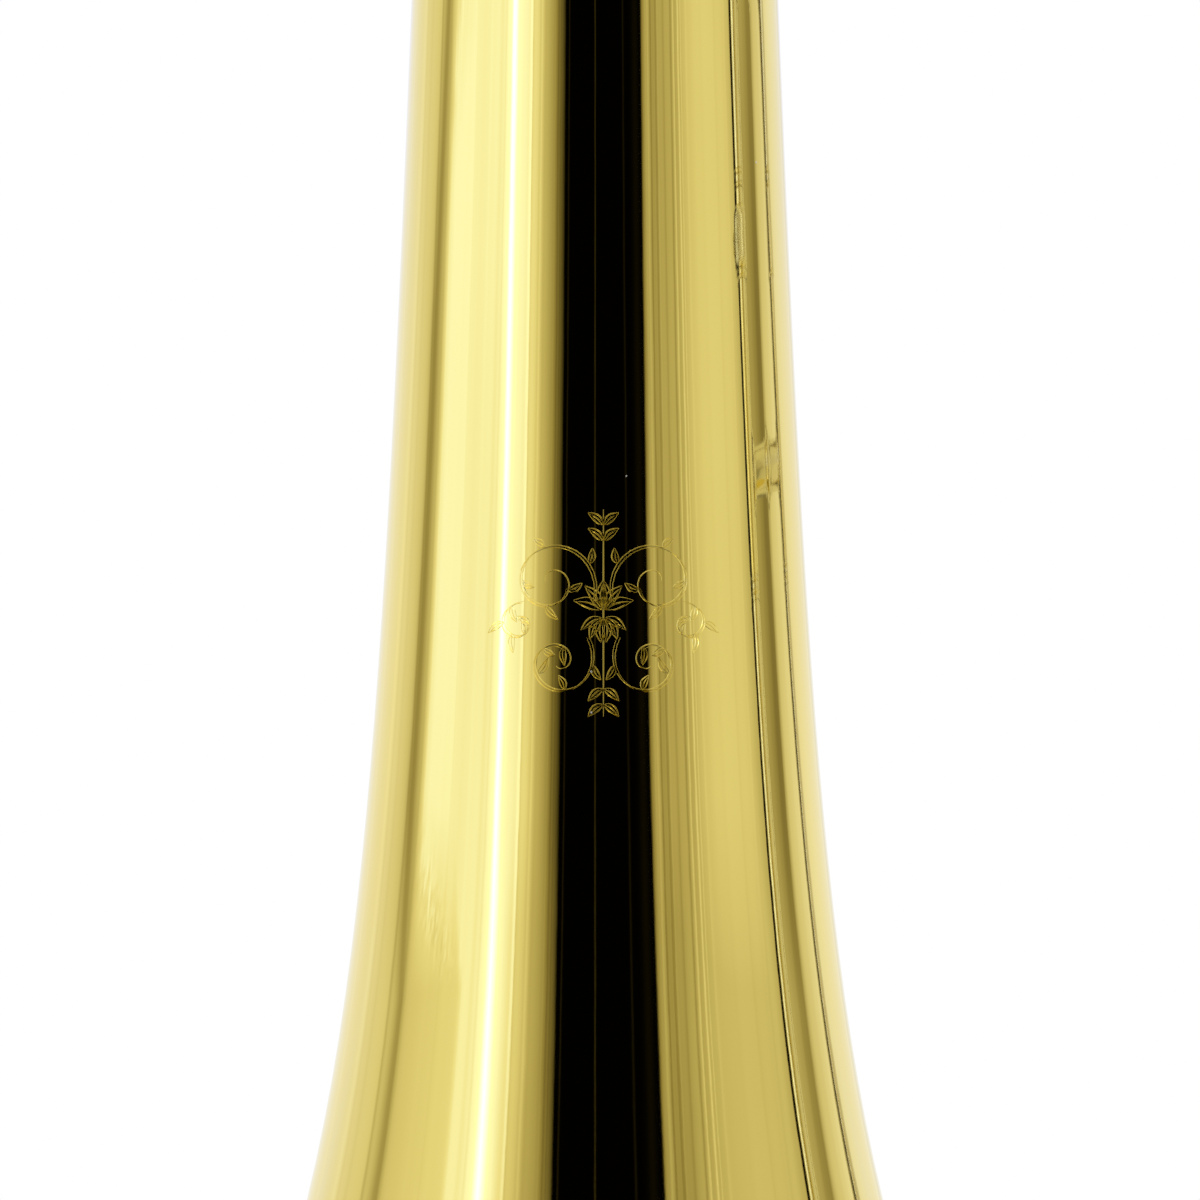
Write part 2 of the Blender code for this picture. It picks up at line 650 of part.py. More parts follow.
def make_valve(prefix, valve_z, lever_start, brass, nickel):
    """One rotary valve: casing with four knuckles, front bearing plate, cap, rotor and stop arm."""
    centre = Vector((VALVE_X, 0, valve_z))
    back = stand(centre, Y)
    cavity = ROTOR_RADIUS + RUNNING
    angles = (UPPER_RIGHT, UPPER_LEFT, LOWER_LEFT, LOWER_RIGHT)

    casing = turned(
        prefix + "_valve_casing",
        [
            (0, -CASING_HALF),
            (CASING_RADIUS, -CASING_HALF),
            (CASING_RADIUS, CASING_HALF),
            (BEARING_HUB_RADIUS, CASING_HALF),
            (BEARING_HUB_RADIUS, BEARING_HUB),
            (0, BEARING_HUB),
        ],
        brass,
        back,
        VALVE_SIDES,
    )
    knuckles = [
        rod(f"{prefix}_knuckle_{i}", port(valve_z, angle, KNUCKLE_ROOT), port(valve_z, angle, KNUCKLE_END),
            KNUCKLE_RADIUS, brass, TUBE_SIDES)
        for i, angle in enumerate(angles)
    ]
    posts = []
    clear = math.asin((STOP_ARM_WIDTH / 2 + STOP_POST_RADIUS + RUNNING) / STOP_ARM)
    for i, angle in enumerate((UPPER_LEFT - clear, UPPER_LEFT + ROTOR_TURN + clear)):
        foot = port(valve_z, angle, STOP_ARM) + Y * (CASING_HALF - CASING_END / 2)
        posts.append(
            rod(f"{prefix}_stop_post_{i}", foot, foot + Y * (STOP_HUB_END - CASING_HALF + CASING_END / 2),
                STOP_POST_RADIUS, brass)
        )
    combine(casing, "UNION", knuckles + posts, "MANIFOLD")
    hollow = turned(
        prefix + "_valve_hollow",
        [
            (0, -2 * CASING_HALF),
            (cavity, -2 * CASING_HALF),
            (cavity, CASING_HALF - CASING_END),
            (SPINDLE_RADIUS + GAP, CASING_HALF - CASING_END),
            (SPINDLE_RADIUS + GAP, 2 * BEARING_HUB),
            (0, 2 * BEARING_HUB),
        ],
        brass,
        back,
        VALVE_SIDES,
    )
    bores = [
        rod(f"{prefix}_port_bore_{i}", port(valve_z, angle, KNUCKLE_ROOT),
            port(valve_z, angle, 2 * KNUCKLE_END), PASSAGE_RADIUS, brass, TUBE_SIDES)
        for i, angle in enumerate(angles)
    ]
    combine(casing, "DIFFERENCE", [hollow] + bores, "MANIFOLD")

    inner_face = ROTOR_FRONT - GAP
    outer_face = inner_face - PLATE_THICK
    hole = SPINDLE_RADIUS + GAP
    sleeve(
        prefix + "_valve_bearing_plate",
        [(cavity - GAP, outer_face), (cavity - GAP, inner_face)],
        [(hole, outer_face), (hole, inner_face)],
        nickel,
        back,
        VALVE_SIDES,
    )
    lip = -CASING_HALF - GAP
    edge = CASING_RADIUS + GAP
    turned(
        prefix + "_valve_cap",
        [
            (0, lip - CAP_DEPTH),
            (edge - CAP_CHAMFER, lip - CAP_DEPTH),
            (edge + CAP_WALL, lip - CAP_DEPTH / 2),
            (edge + CAP_WALL, CAP_SKIRT),
            (edge, CAP_SKIRT),
            (edge, lip),
            (0, lip),
        ],
        brass,
        back,
        VALVE_SIDES,
    )

    rotor = turned(
        prefix + "_rotor",
        [
            (0, SPINDLE_FRONT),
            (SPINDLE_RADIUS, SPINDLE_FRONT),
            (SPINDLE_RADIUS, ROTOR_FRONT),
            (ROTOR_RADIUS, ROTOR_FRONT),
            (ROTOR_RADIUS, ROTOR_BACK),
            (SPINDLE_RADIUS, ROTOR_BACK),
            (SPINDLE_RADIUS, SPINDLE_BACK),
            (0, SPINDLE_BACK),
        ],
        brass,
        back,
        VALVE_SIDES,
    )
    passages = []
    for i, (start, end) in enumerate(((LOWER_RIGHT, UPPER_RIGHT), (UPPER_LEFT, LOWER_LEFT))):
        corners = [port(valve_z, start, 2 * ROTOR_RADIUS), centre, port(valve_z, end, 2 * ROTOR_RADIUS)]
        passages.append(tube(f"{prefix}_passage_{i}", route(corners, ROTOR_RADIUS), brass, PASSAGE_RADIUS))
    combine(rotor, "DIFFERENCE", passages)

    arm = sleeve(
        prefix + "_stop_arm",
        [(STOP_HUB_RADIUS, STOP_HUB_START), (STOP_HUB_RADIUS, STOP_HUB_END)],
        [(SPINDLE_RADIUS + GAP, STOP_HUB_START), (SPINDLE_RADIUS + GAP, STOP_HUB_END)],
        nickel,
        back,
        VALVE_SIDES // 2,
    )
    inner = SPINDLE_RADIUS + GAP + COLLAR_STEP
    middle = port(valve_z, UPPER_LEFT, (inner + STOP_ARM) / 2) + Y * (STOP_HUB_START + STOP_HUB_END) / 2
    turn = Matrix.Rotation(-UPPER_LEFT, 4, "Y")
    size = (STOP_ARM - inner, STOP_HUB_END - STOP_HUB_START - 2 * COLLAR_STEP, STOP_ARM_WIDTH)
    bar = block(prefix + "_stop_arm_bar", size, Matrix.Translation(middle) @ turn, nickel)
    foot = port(valve_z, UPPER_LEFT, STOP_ARM) + Y * STOP_HUB_START
    stud = rod(prefix + "_stop_arm_stud", foot, foot + Y * (lever_start + LEVER_THICK - STOP_HUB_START),
               STOP_ARM_WIDTH / 2, nickel)
    combine(arm, "UNION", [bar, stud])
    body(prefix + "_rotor", centre, [rotor, arm])


def make_lever(prefix, valve_z, start, pad_low, pad_width, nickel):
    """A thumb lever and the link that joins it to its valve's stop arm."""
    end = start + LEVER_THICK
    pivot = Vector((LEVER_X, 0, LOWER_BRACE_Z))
    tilt = LEVER_TURN / 2
    turn = Matrix.Rotation(-tilt, 4, "Y")
    along = turn @ X

    lever = sleeve(
        prefix + "_lever",
        [(LEVER_HUB_RADIUS, start), (LEVER_HUB_RADIUS, end)],
        [(AXLE_RADIUS + GAP, start), (AXLE_RADIUS + GAP, end)],
        nickel,
        stand(pivot, Y),
    )
    inner = AXLE_RADIUS + GAP + 2 * COLLAR_STEP
    outer = PAD_START + PAD_LENGTH / 2
    middle = pivot + along * (inner + outer) / 2 + Y * (start + end) / 2
    arm = block(prefix + "_lever_bar", (outer - inner, LEVER_THICK - LEVER_INSET, LEVER_HEIGHT),
                Matrix.Translation(middle) @ turn, nickel)
    pad_middle = pivot + along * (PAD_START + PAD_LENGTH / 2) + Y * (pad_low + pad_width / 2)
    pad_middle += (turn @ Z) * PAD_RISE
    pad = plate(prefix + "_lever_pad", (PAD_LENGTH, pad_width, PAD_THICK), PAD_CORNER,
                Matrix.Translation(pad_middle) @ turn, nickel)
    joint = pivot + along * LEVER_ARM
    pin = rod(prefix + "_lever_pin", joint + Y * (start + LEVER_THICK / 2),
              joint + Y * (end + RUNNING + LINK_THICK), LINK_PIN_RADIUS, nickel)
    combine(lever, "UNION", [arm, pad, pin])
    body(prefix + "_lever", pivot, [lever])

    low = end + RUNNING
    middle_y = low + LINK_THICK / 2
    stud = port(valve_z, UPPER_LEFT, STOP_ARM)
    link = sleeve(
        prefix + "_link",
        [(LINK_EYE_RADIUS, low), (LINK_EYE_RADIUS, low + LINK_THICK)],
        [(LINK_PIN_RADIUS + SLIP, low), (LINK_PIN_RADIUS + SLIP, low + LINK_THICK)],
        nickel,
        stand(joint, Y),
    )
    shaft = rod(prefix + "_link_rod", joint + Z * (LINK_EYE_RADIUS - COLLAR_STEP) + Y * middle_y,
                stud + Y * middle_y, LINK_ROD_RADIUS, nickel)
    head = rod(prefix + "_link_head", stud + Y * low, stud + Y * (low + LINK_THICK), LINK_EYE_RADIUS, nickel,
               TUBE_SIDES)
    combine(link, "UNION", [shaft, head])
    body(prefix + "_link", joint, [link])


def coil(name, origin, axis, across, radius, wire, pitch, curls, tail, look):
    """A torsion spring: one unbroken wire whose two ends leave the coil as like straight tails."""
    side = axis.cross(across)
    points = []
    steps = curls * CURL_POINTS
    for i in range(steps + 1):
        angle = 2 * math.pi * i / CURL_POINTS
        points.append(origin + axis * pitch * i / CURL_POINTS
                      + radius * (across * math.cos(angle) + side * math.sin(angle)))
    points = [points[0] + tail] + points + [points[-1] + tail]
    curve = bpy.data.curves.new(name, "CURVE")
    curve.dimensions = "3D"
    curve.bevel_depth = wire
    curve.bevel_resolution = 1
    curve.use_fill_caps = True
    spline = curve.splines.new("POLY")
    spline.points.add(len(points) - 1)
    for spot, point in zip(spline.points, points):
        spot.co = (*point, 1)
    curve.materials.append(look)
    thing = bpy.data.objects.new(name, curve)
    bpy.context.scene.collection.objects.link(thing)
    apart = CURL_POINTS // 2
    gaps = [(a - b).length for i, a in enumerate(points) for b in points[i + apart:]]
    print(f"{name}: least gap to itself {(min(gaps) - 2 * wire) / MM:.2f} mm")
    return thing


def make_lever_axle(nickel, steel):
    """The saddle on the lower brace, whose axle both levers turn on, and their springs."""
    start = BRACE_RADIUS + GAP
    place = stand(Vector((LEVER_X, 0, LOWER_BRACE_Z)), Y)
    turned(
        "lever_saddle",
        [
            (0, start),
            (LEVER_HUB_RADIUS, start),
            (LEVER_HUB_RADIUS, start + BRACE_FLANGE),
            (AXLE_RADIUS, start + 2 * BRACE_FLANGE),
            (AXLE_RADIUS, AXLE_END - BRACE_FLANGE),
            (LEVER_HUB_RADIUS, AXLE_END - BRACE_FLANGE),
            (LEVER_HUB_RADIUS, AXLE_END),
            (0, AXLE_END),
        ],
        nickel,
        place,
    )
    length = SPRING_CURLS * SPRING_PITCH
    room = F_LEVER_START - GAP - SPRING_WIRE - length
    tail = -X * 2 * LEVER_HUB_RADIUS
    beyond = GB_LEVER_START + LEVER_THICK + GAP + SPRING_WIRE
    for name, low in (("f_lever_spring", room), ("gb_lever_spring", beyond)):
        origin = Vector((LEVER_X, low, LOWER_BRACE_Z))
        coil(name, origin, Y, -Z, SPRING_COIL, SPRING_WIRE, SPRING_PITCH, SPRING_CURLS, tail, steel)


def make_loop(prefix, valve_z, side, lower, receiver_top, bow_rise, brace_drop, brass, nickel):
    """One valve's attachment: two tubes from its left ports, two receivers, a brace and a tuning slide."""
    reach = KNUCKLE_END + GAP
    lead = reach + LOOP_LEAD
    offset = Y * (side * LOOP_OFFSET)
    near = port(valve_z, UPPER_LEFT, lead)
    low = port(valve_z, LOWER_LEFT, lead)
    receiver_bottom = receiver_top - RECEIVER_LENGTH
    tube_top = receiver_bottom + LOOP_OVERLAP
    brace_z = receiver_top - brace_drop

    def at(x, z):
        return Vector((x, side * LOOP_OFFSET, z))

    upper = [port(valve_z, UPPER_LEFT, reach), near, near + offset, at(near.x, tube_top)]
    tube(prefix + "_loop_upper_tube", route(upper, LOOP_BEND), brass, TUBE_RADIUS, TUBE_RADIUS - TUBE_WALL)
    run = [low + offset] if abs(lower - low.z) < MM else [low + offset, at(low.x, lower)]
    down = [port(valve_z, LOWER_LEFT, reach), low, *run, at(LOOP_FAR_X, run[-1].z), at(LOOP_FAR_X, tube_top)]
    tube(prefix + "_loop_lower_tube", route(down, LOOP_BEND), brass, TUBE_RADIUS, TUBE_RADIUS - TUBE_WALL)

    bore = TUBE_RADIUS + SLIP
    outside = bore + SLEEVE_WALL
    bead = receiver_top - RECEIVER_COLLAR
    for name, x in (("near", near.x), ("far", LOOP_FAR_X)):
        sleeve(
            f"{prefix}_receiver_{name}",
            [
                (outside, receiver_bottom),
                (outside, bead),
                (outside + RECEIVER_BEAD, bead + COLLAR_STEP),
                (outside + RECEIVER_BEAD, receiver_top),
            ],
            [(bore, receiver_bottom), (bore, receiver_top)],
            nickel,
            stand(at(x, 0)),
        )
    inset = X * (outside + GAP)
    make_brace(prefix + "_loop_brace", at(LOOP_FAR_X, brace_z) + inset, at(near.x, brace_z) - inset, nickel)

    collar = receiver_top + GAP
    levels = [tube_top + GAP]
    levels += [collar, collar + COLLAR_STEP, collar + SLIDE_COLLAR, collar + SLIDE_COLLAR + COLLAR_STEP]
    half = (near.x - LOOP_FAR_X) / 2
    crown = receiver_top + bow_rise + half
    climb = [at(LOOP_FAR_X, z) for z in levels]
    descend = [at(near.x, z) for z in reversed(levels)]
    corners = climb + [at(LOOP_FAR_X, crown), at(near.x, crown)] + descend

    def radius(point):
        beaded = collar + COLLAR_STEP / 2 < point.z < collar + SLIDE_COLLAR + COLLAR_STEP / 2
        return TUBE_RADIUS + (SLIDE_BEAD if beaded else 0)

    slide = tube(prefix + "_tuning_slide", route(corners, half), brass, radius, TUBE_RADIUS - TUBE_WALL)
    body(prefix + "_tuning_slide", at(LOOP_FAR_X + half, receiver_top), [slide])


def make_slide_receiver(nickel):
    """The socket on the gooseneck that takes the hand slide's tenon, and the nut that holds them together."""
    here = stand(X * LINE_SPACING)
    socket = TENON_RADIUS + GAP
    sleeve(
        "slide_receiver",
        [
            (TENON_COLLAR_RADIUS, SLIDE_RECEIVER_BOTTOM),
            (TENON_COLLAR_RADIUS, NUT_BOTTOM + NUT_HEIGHT + GAP),
            (SLIDE_RECEIVER_RADIUS, NUT_BOTTOM + NUT_HEIGHT + GAP + COLLAR_STEP),
            (SLIDE_RECEIVER_RADIUS, SLIDE_RECEIVER_TOP - 3 * COLLAR_STEP),
            (TUBE_RADIUS + GAP + SLEEVE_WALL, SLIDE_RECEIVER_TOP),
        ],
        [
            (socket, SLIDE_RECEIVER_BOTTOM),
            (socket, TENON_TOP + GAP),
            (TUBE_RADIUS + GAP, GOOSENECK_BOTTOM),
            (TUBE_RADIUS + GAP, SLIDE_RECEIVER_TOP),
        ],
        nickel,
        here,
        LEG_SIDES,
    )
    thread = TENON_COLLAR_RADIUS + SLIP
    neck = BARREL_RADIUS + SLIP
    nut = sleeve(
        "lock_nut",
        [
            (NUT_RADIUS - 2 * COLLAR_STEP, NUT_BOTTOM),
            (NUT_RADIUS, NUT_BOTTOM + 2 * COLLAR_STEP),
            (NUT_RADIUS, NUT_BOTTOM + NUT_HEIGHT - 2 * COLLAR_STEP),
            (NUT_RADIUS - 2 * COLLAR_STEP, NUT_BOTTOM + NUT_HEIGHT),
        ],
        [
            (neck, NUT_BOTTOM),
            (neck, NUT_BOTTOM + NUT_SHOULDER),
            (thread, NUT_BOTTOM + NUT_SHOULDER),
            (thread, NUT_BOTTOM + NUT_HEIGHT),
        ],
        nickel,
        here,
        VALVE_SIDES,
    )
    body("lock_nut", Vector((LINE_SPACING, 0, NUT_BOTTOM)), [nut])


def make_inner_slide(brass, nickel):
    """The fixed half of the hand slide: two inner tubes, cork barrels, leadpipe and brace."""
    neck = Vector((LINE_SPACING, 0, 0))
    mouth = Vector((LINE_SPACING, SLIDE_SPACING, 0))
    socket = INNER_RADIUS + GAP
    crown = BARREL_TOP - BARREL_CROWN

    def inner_tube(name, line, top):
        return sleeve(
            name,
            [
                (STOCKING_RADIUS, INNER_BOTTOM),
                (STOCKING_RADIUS, INNER_BOTTOM + STOCKING_LENGTH),
                (INNER_RADIUS, INNER_BOTTOM + STOCKING_LENGTH + COLLAR_STEP),
                (INNER_RADIUS, top),
            ],
            [(BORE_RADIUS, INNER_BOTTOM), (BORE_RADIUS, top)],
            nickel,
            stand(line),
        )

    pieces = [inner_tube("inner_tube_neck", neck, TENON_TOP)]
    pieces.append(inner_tube("inner_tube_mouth", mouth, BARREL_TOP))
    bore = [(BARREL_BORE, BARREL_BOTTOM), (BARREL_BORE, crown - GAP), (socket, crown)]
    collar = TENON_COLLAR_TOP - TENON_COLLAR
    pieces.append(
        sleeve(
            "cork_barrel_neck",
            [
                (BARREL_RADIUS, BARREL_BOTTOM),
                (BARREL_RADIUS, collar),
                (TENON_COLLAR_RADIUS, collar),
                (TENON_COLLAR_RADIUS, TENON_COLLAR_TOP),
                (TENON_RADIUS, TENON_COLLAR_TOP),
                (TENON_RADIUS, TENON_TOP),
            ],
            bore + [(socket, TENON_TOP)],
            nickel,
            stand(neck),
        )
    )
    lip = MOUTHPIECE_RECEIVER_TOP
    mouth_bore = SHANK_RADIUS + GAP
    stop = lip - SHANK_DEPTH - RECEIVER_STOP
    pipe = LEADPIPE_RADIUS + GAP
    pieces.append(
        sleeve(
            "cork_barrel_mouth",
            [
                (BARREL_RADIUS, BARREL_BOTTOM),
                (BARREL_RADIUS, BARREL_TOP),
                (MOUTHPIECE_RECEIVER_RADIUS, BARREL_TOP + MOUTHPIECE_RECEIVER_LIP),
                (MOUTHPIECE_RECEIVER_RADIUS, lip - MOUTHPIECE_RECEIVER_LIP),
                (MOUTHPIECE_RECEIVER_RADIUS + RECEIVER_BEAD, lip - MOUTHPIECE_RECEIVER_LIP + COLLAR_STEP),
                (MOUTHPIECE_RECEIVER_RADIUS + RECEIVER_BEAD, lip),
            ],
            bore
            + [
                (socket, BARREL_TOP + GAP),
                (pipe, BARREL_TOP + GAP),
                (pipe, stop),
                (mouth_bore - SHANK_TAPER * (lip - stop), stop + GAP),
                (mouth_bore, lip),
            ],
            nickel,
            stand(mouth),
        )
    )
    pipe_top = stop - GAP
    pipe_bore = LEADPIPE_RADIUS - LEADPIPE_WALL
    pieces.append(
        sleeve(
            "leadpipe",
            [(LEADPIPE_RADIUS, pipe_top - LEADPIPE_LENGTH), (LEADPIPE_RADIUS, pipe_top)],
            [(pipe_bore, pipe_top - LEADPIPE_LENGTH), (pipe_bore, pipe_top)],
            brass,
            stand(mouth),
        )
    )
    inset = Y * (BARREL_RADIUS + GAP)
    height = Z * INNER_BRACE_Z
    brace = make_brace("inner_brace", neck + inset + height, mouth - inset + height, nickel, SLIDE_KNOB)
    pieces.append(brace)
    body("inner_slide", neck + Z * SLIDE_RECEIVER_BOTTOM, pieces)

    low = BARREL_BOTTOM + 2 * COLLAR_STEP
    ring = BARREL_RADIUS + SLIP
    lock = sleeve(
        "slide_lock_ring",
        [(ring + LOCK_RING_WALL, low), (ring + LOCK_RING_WALL, low + LOCK_RING_HEIGHT)],
        [(ring, low), (ring, low + LOCK_RING_HEIGHT)],
        nickel,
        stand(neck),
        LEG_SIDES,
    )
    lug_height = Z * (low + LOCK_RING_HEIGHT / 2)
    lug = rod("slide_lock_lug", neck + lug_height - Y * (ring + LOCK_RING_WALL / 2),
              neck + lug_height - Y * (ring + 3 * LOCK_RING_WALL), LOCK_RING_HEIGHT / 4, nickel)
    combine(lock, "UNION", [lug])
    body("slide_lock", neck + Z * low, [lock])


def make_outer_slide(brass, nickel, rubber, steel):
    """The moving half of the hand slide: two outer tubes, end sleeves, brace, crook, bumper and water key."""
    neck = Vector((LINE_SPACING, 0, 0))
    mouth = Vector((LINE_SPACING, SLIDE_SPACING, 0))
    pieces = []
    for name, line in (("neck", neck), ("mouth", mouth)):
        pieces.append(
            sleeve(
                "outer_tube_" + name,
                [
                    (FERRULE_RADIUS, OUTER_BOTTOM),
                    (FERRULE_RADIUS, OUTER_BOTTOM + FERRULE_LENGTH),
                    (OUTER_RADIUS, OUTER_BOTTOM + FERRULE_LENGTH + COLLAR_STEP),
                    (OUTER_RADIUS, OUTER_TOP),
                ],
                [(OUTER_INNER_RADIUS, OUTER_BOTTOM), (OUTER_INNER_RADIUS, OUTER_TOP)],
                nickel,
                stand(line),
            )
        )
        low = OUTER_TOP - END_SLEEVE_LENGTH
        bore = END_SLEEVE_RADIUS - END_SLEEVE_WALL
        pieces.append(
            sleeve(
                "end_sleeve_" + name,
                [(END_SLEEVE_RADIUS, low), (END_SLEEVE_RADIUS, OUTER_TOP)],
                [(bore, low), (bore, OUTER_TOP)],
                nickel,
                stand(line),
            )
        )
    inset = Y * (END_SLEEVE_RADIUS + GAP)
    height = Z * OUTER_BRACE_Z
    brace = make_brace("outer_brace", neck + inset + height, mouth - inset + height, nickel, SLIDE_KNOB)
    pieces.append(brace)
    pieces.append(make_crook(neck, mouth, brass))
    top = CROOK_BOTTOM - GAP
    flat = top - BUMPER_STEM - FOOT_HEIGHT
    pieces.append(
        turned(
            "crook_bumper",
            [
                (0, flat),
                (FOOT_RADIUS - COLLAR_STEP, flat),
                (FOOT_RADIUS, flat + COLLAR_STEP),
                (FOOT_RADIUS, flat + FOOT_HEIGHT),
                (BUMPER_RADIUS, flat + FOOT_HEIGHT),
                (BUMPER_RADIUS, top),
                (0, top),
            ],
            rubber,
            stand((neck + mouth) / 2),
        )
    )
    pivot = neck + Vector((0, KEY_PIVOT_Y, KEY_PIVOT_Z))
    key_coil = KEY_HUB_RADIUS + GAP + KEY_SPRING_WIRE
    start = pivot + X * (KEY_ARM_WIDTH / 4 + GAP + KEY_SPRING_WIRE)
    tail = Z * (3 * KEY_HUB_RADIUS)
    pieces.append(
        coil("water_key_spring", start, X, Y, key_coil, KEY_SPRING_WIRE, KEY_SPRING_PITCH, KEY_SPRING_CURLS,
             tail, steel)
    )
    body("outer_slide", neck + Z * OUTER_TOP, pieces)


def make_crook(neck, mouth, brass):
    """The U bend at the foot of the slide, with the water key's nipple and saddle."""
    top = Z * (OUTER_BOTTOM - GAP)
    low = Z * (CROOK_BEND_Z - SLIDE_SPACING / 2)
    corners = [neck + top, neck + low, mouth + low, mouth + top]
    bend = route(corners, SLIDE_SPACING / 2)
    crook = tube("slide_crook", bend, brass, CROOK_RADIUS, CROOK_RADIUS - TUBE_WALL)
    hole = neck + Z * KEY_HOLE_Z
    pivot = neck + Vector((0, KEY_PIVOT_Y, KEY_PIVOT_Z))
    inner = CROOK_RADIUS - TUBE_WALL / 2
    nipple = rod("crook_nipple", hole - Y * inner, hole + Y * NIPPLE_END, NIPPLE_RADIUS, brass, TUBE_SIDES)
    extras = [nipple]
    half = KEY_HUB_HALF + GAP + EAR_THICK / 2
    foot = math.sqrt(inner ** 2 - half ** 2) - EAR_SINK
    tip = KEY_HUB_RADIUS - KEY_PIVOT_Y
    for i, sign in enumerate((-1, 1)):
        middle = Vector((pivot.x + sign * half, -(foot + tip) / 2, pivot.z))
        extras.append(block(f"crook_ear_{i}", (EAR_THICK, tip - foot, 2 * KEY_HUB_RADIUS),
                            Matrix.Translation(middle), brass))
    extras.append(rod("crook_pin", pivot - X * half, pivot + X * half, KEY_PIN_RADIUS, brass))
    combine(crook, "UNION", extras)
    bore = rod("crook_drain", hole, hole + Y * 2 * NIPPLE_END, KEY_HOLE_RADIUS, brass)
    return combine(crook, "DIFFERENCE", [bore])


def make_water_key(nickel):
    """The sprung lever that closes the drain hole with a cork pad."""
    line = X * LINE_SPACING
    pivot = line + Vector((0, KEY_PIVOT_Y, KEY_PIVOT_Z))
    pad_top = NIPPLE_END - GAP
    key = rod("water_key", line + Vector((0, pad_top, KEY_HOLE_Z)),
              line + Vector((0, pad_top - KEY_PAD_THICK, KEY_HOLE_Z)), KEY_PAD_RADIUS, nickel, TUBE_SIDES)
    half = X * KEY_HUB_HALF
    hub = rod("key_hub", pivot - half, pivot + half, KEY_HUB_RADIUS, nickel, TUBE_SIDES)
    arm_y = pad_top - KEY_PAD_THICK + KEY_ARM_SINK - KEY_ARM_THICK / 2
    low = KEY_HOLE_Z - KEY_PAD_RADIUS / 2
    arm = block("key_arm", (KEY_ARM_WIDTH / 2, KEY_ARM_THICK, KEY_TAIL_Z - low),
                Matrix.Translation(line + Vector((0, arm_y, (KEY_TAIL_Z + low) / 2))), nickel)
    tab_length = (KEY_TAIL_Z - KEY_PIVOT_Z) / 2
    tab = block("key_tab", (2 * KEY_ARM_WIDTH, KEY_TAB_THICK, tab_length),
                Matrix.Translation(line + Vector((0, arm_y, KEY_TAIL_Z - tab_length / 2))), nickel)
    combine(key, "UNION", [hub, arm, tab])
    bore = rod("key_bore", pivot - 3 * half, pivot + 3 * half, KEY_PIN_RADIUS + GAP, nickel)
    combine(key, "DIFFERENCE", [bore])
    body("water_key", pivot, [key])


def make_mouthpiece(silver):
    """A large-shank mouthpiece with a deep cup."""
    lip = MOUTHPIECE_RECEIVER_TOP
    tip = lip - SHANK_DEPTH
    top = tip + MOUTHPIECE_LENGTH
    tip_radius = SHANK_RADIUS - SHANK_TAPER * SHANK_DEPTH
    outside = [
        (tip_radius, tip),
        (SHANK_RADIUS, lip),
        (SHANK_RADIUS, lip + STEM_LENGTH),
        (BOWL_FOOT_RADIUS, lip + BOWL_FOOT),
        (BOWL_MIDDLE_RADIUS, lip + BOWL_MIDDLE),
        (BOWL_SHOULDER_RADIUS, top - BOWL_SHOULDER),
        (RIM_RADIUS, top - RIM_BAND),
        (RIM_RADIUS, top - RIM_STEP),
        (RIM_RADIUS - RIM_ROUND, top),
    ]
    inside = [
        (tip_radius - SHANK_WALL, tip),
        (THROAT_RADIUS, top - THROAT_DEPTH - THROAT_LENGTH),
        (THROAT_RADIUS, top - THROAT_DEPTH),
        (CUP_MIDDLE_RADIUS, top - CUP_MIDDLE_DEPTH),
        (CUP_WALL_RADIUS, top - CUP_WALL_DEPTH),
        (CUP_RADIUS, top - RIM_STEP),
        (CUP_RADIUS + RIM_ROUND, top),
    ]
    line = Vector((LINE_SPACING, SLIDE_SPACING, 0))
    piece = sleeve("mouthpiece", outside, inside, silver, stand(line), LEG_SIDES)
    body("mouthpiece", line + Z * lip, [piece])


def make_bell_braces(nickel):
    lower = Z * LOWER_BRACE_Z
    start = X * (bell_radius(LOWER_BRACE_Z - BRACE_FLANGE_RADIUS) + GAP)
    end = X * (LINE_SPACING - SLIDE_RECEIVER_RADIUS - GAP)
    make_brace("lower_bell_brace", start + lower, end + lower, nickel)
    upper = Z * UPPER_BRACE_Z
    start = X * (BELL_LEG_RADIUS + SLIP + SLEEVE_WALL + GAP)
    end = X * (LINE_SPACING - NECK_LEG_RADIUS - SLIP - SLEEVE_WALL - GAP)
    make_brace("upper_bell_brace", start + upper, end + upper, nickel, BRACE_KNOB)


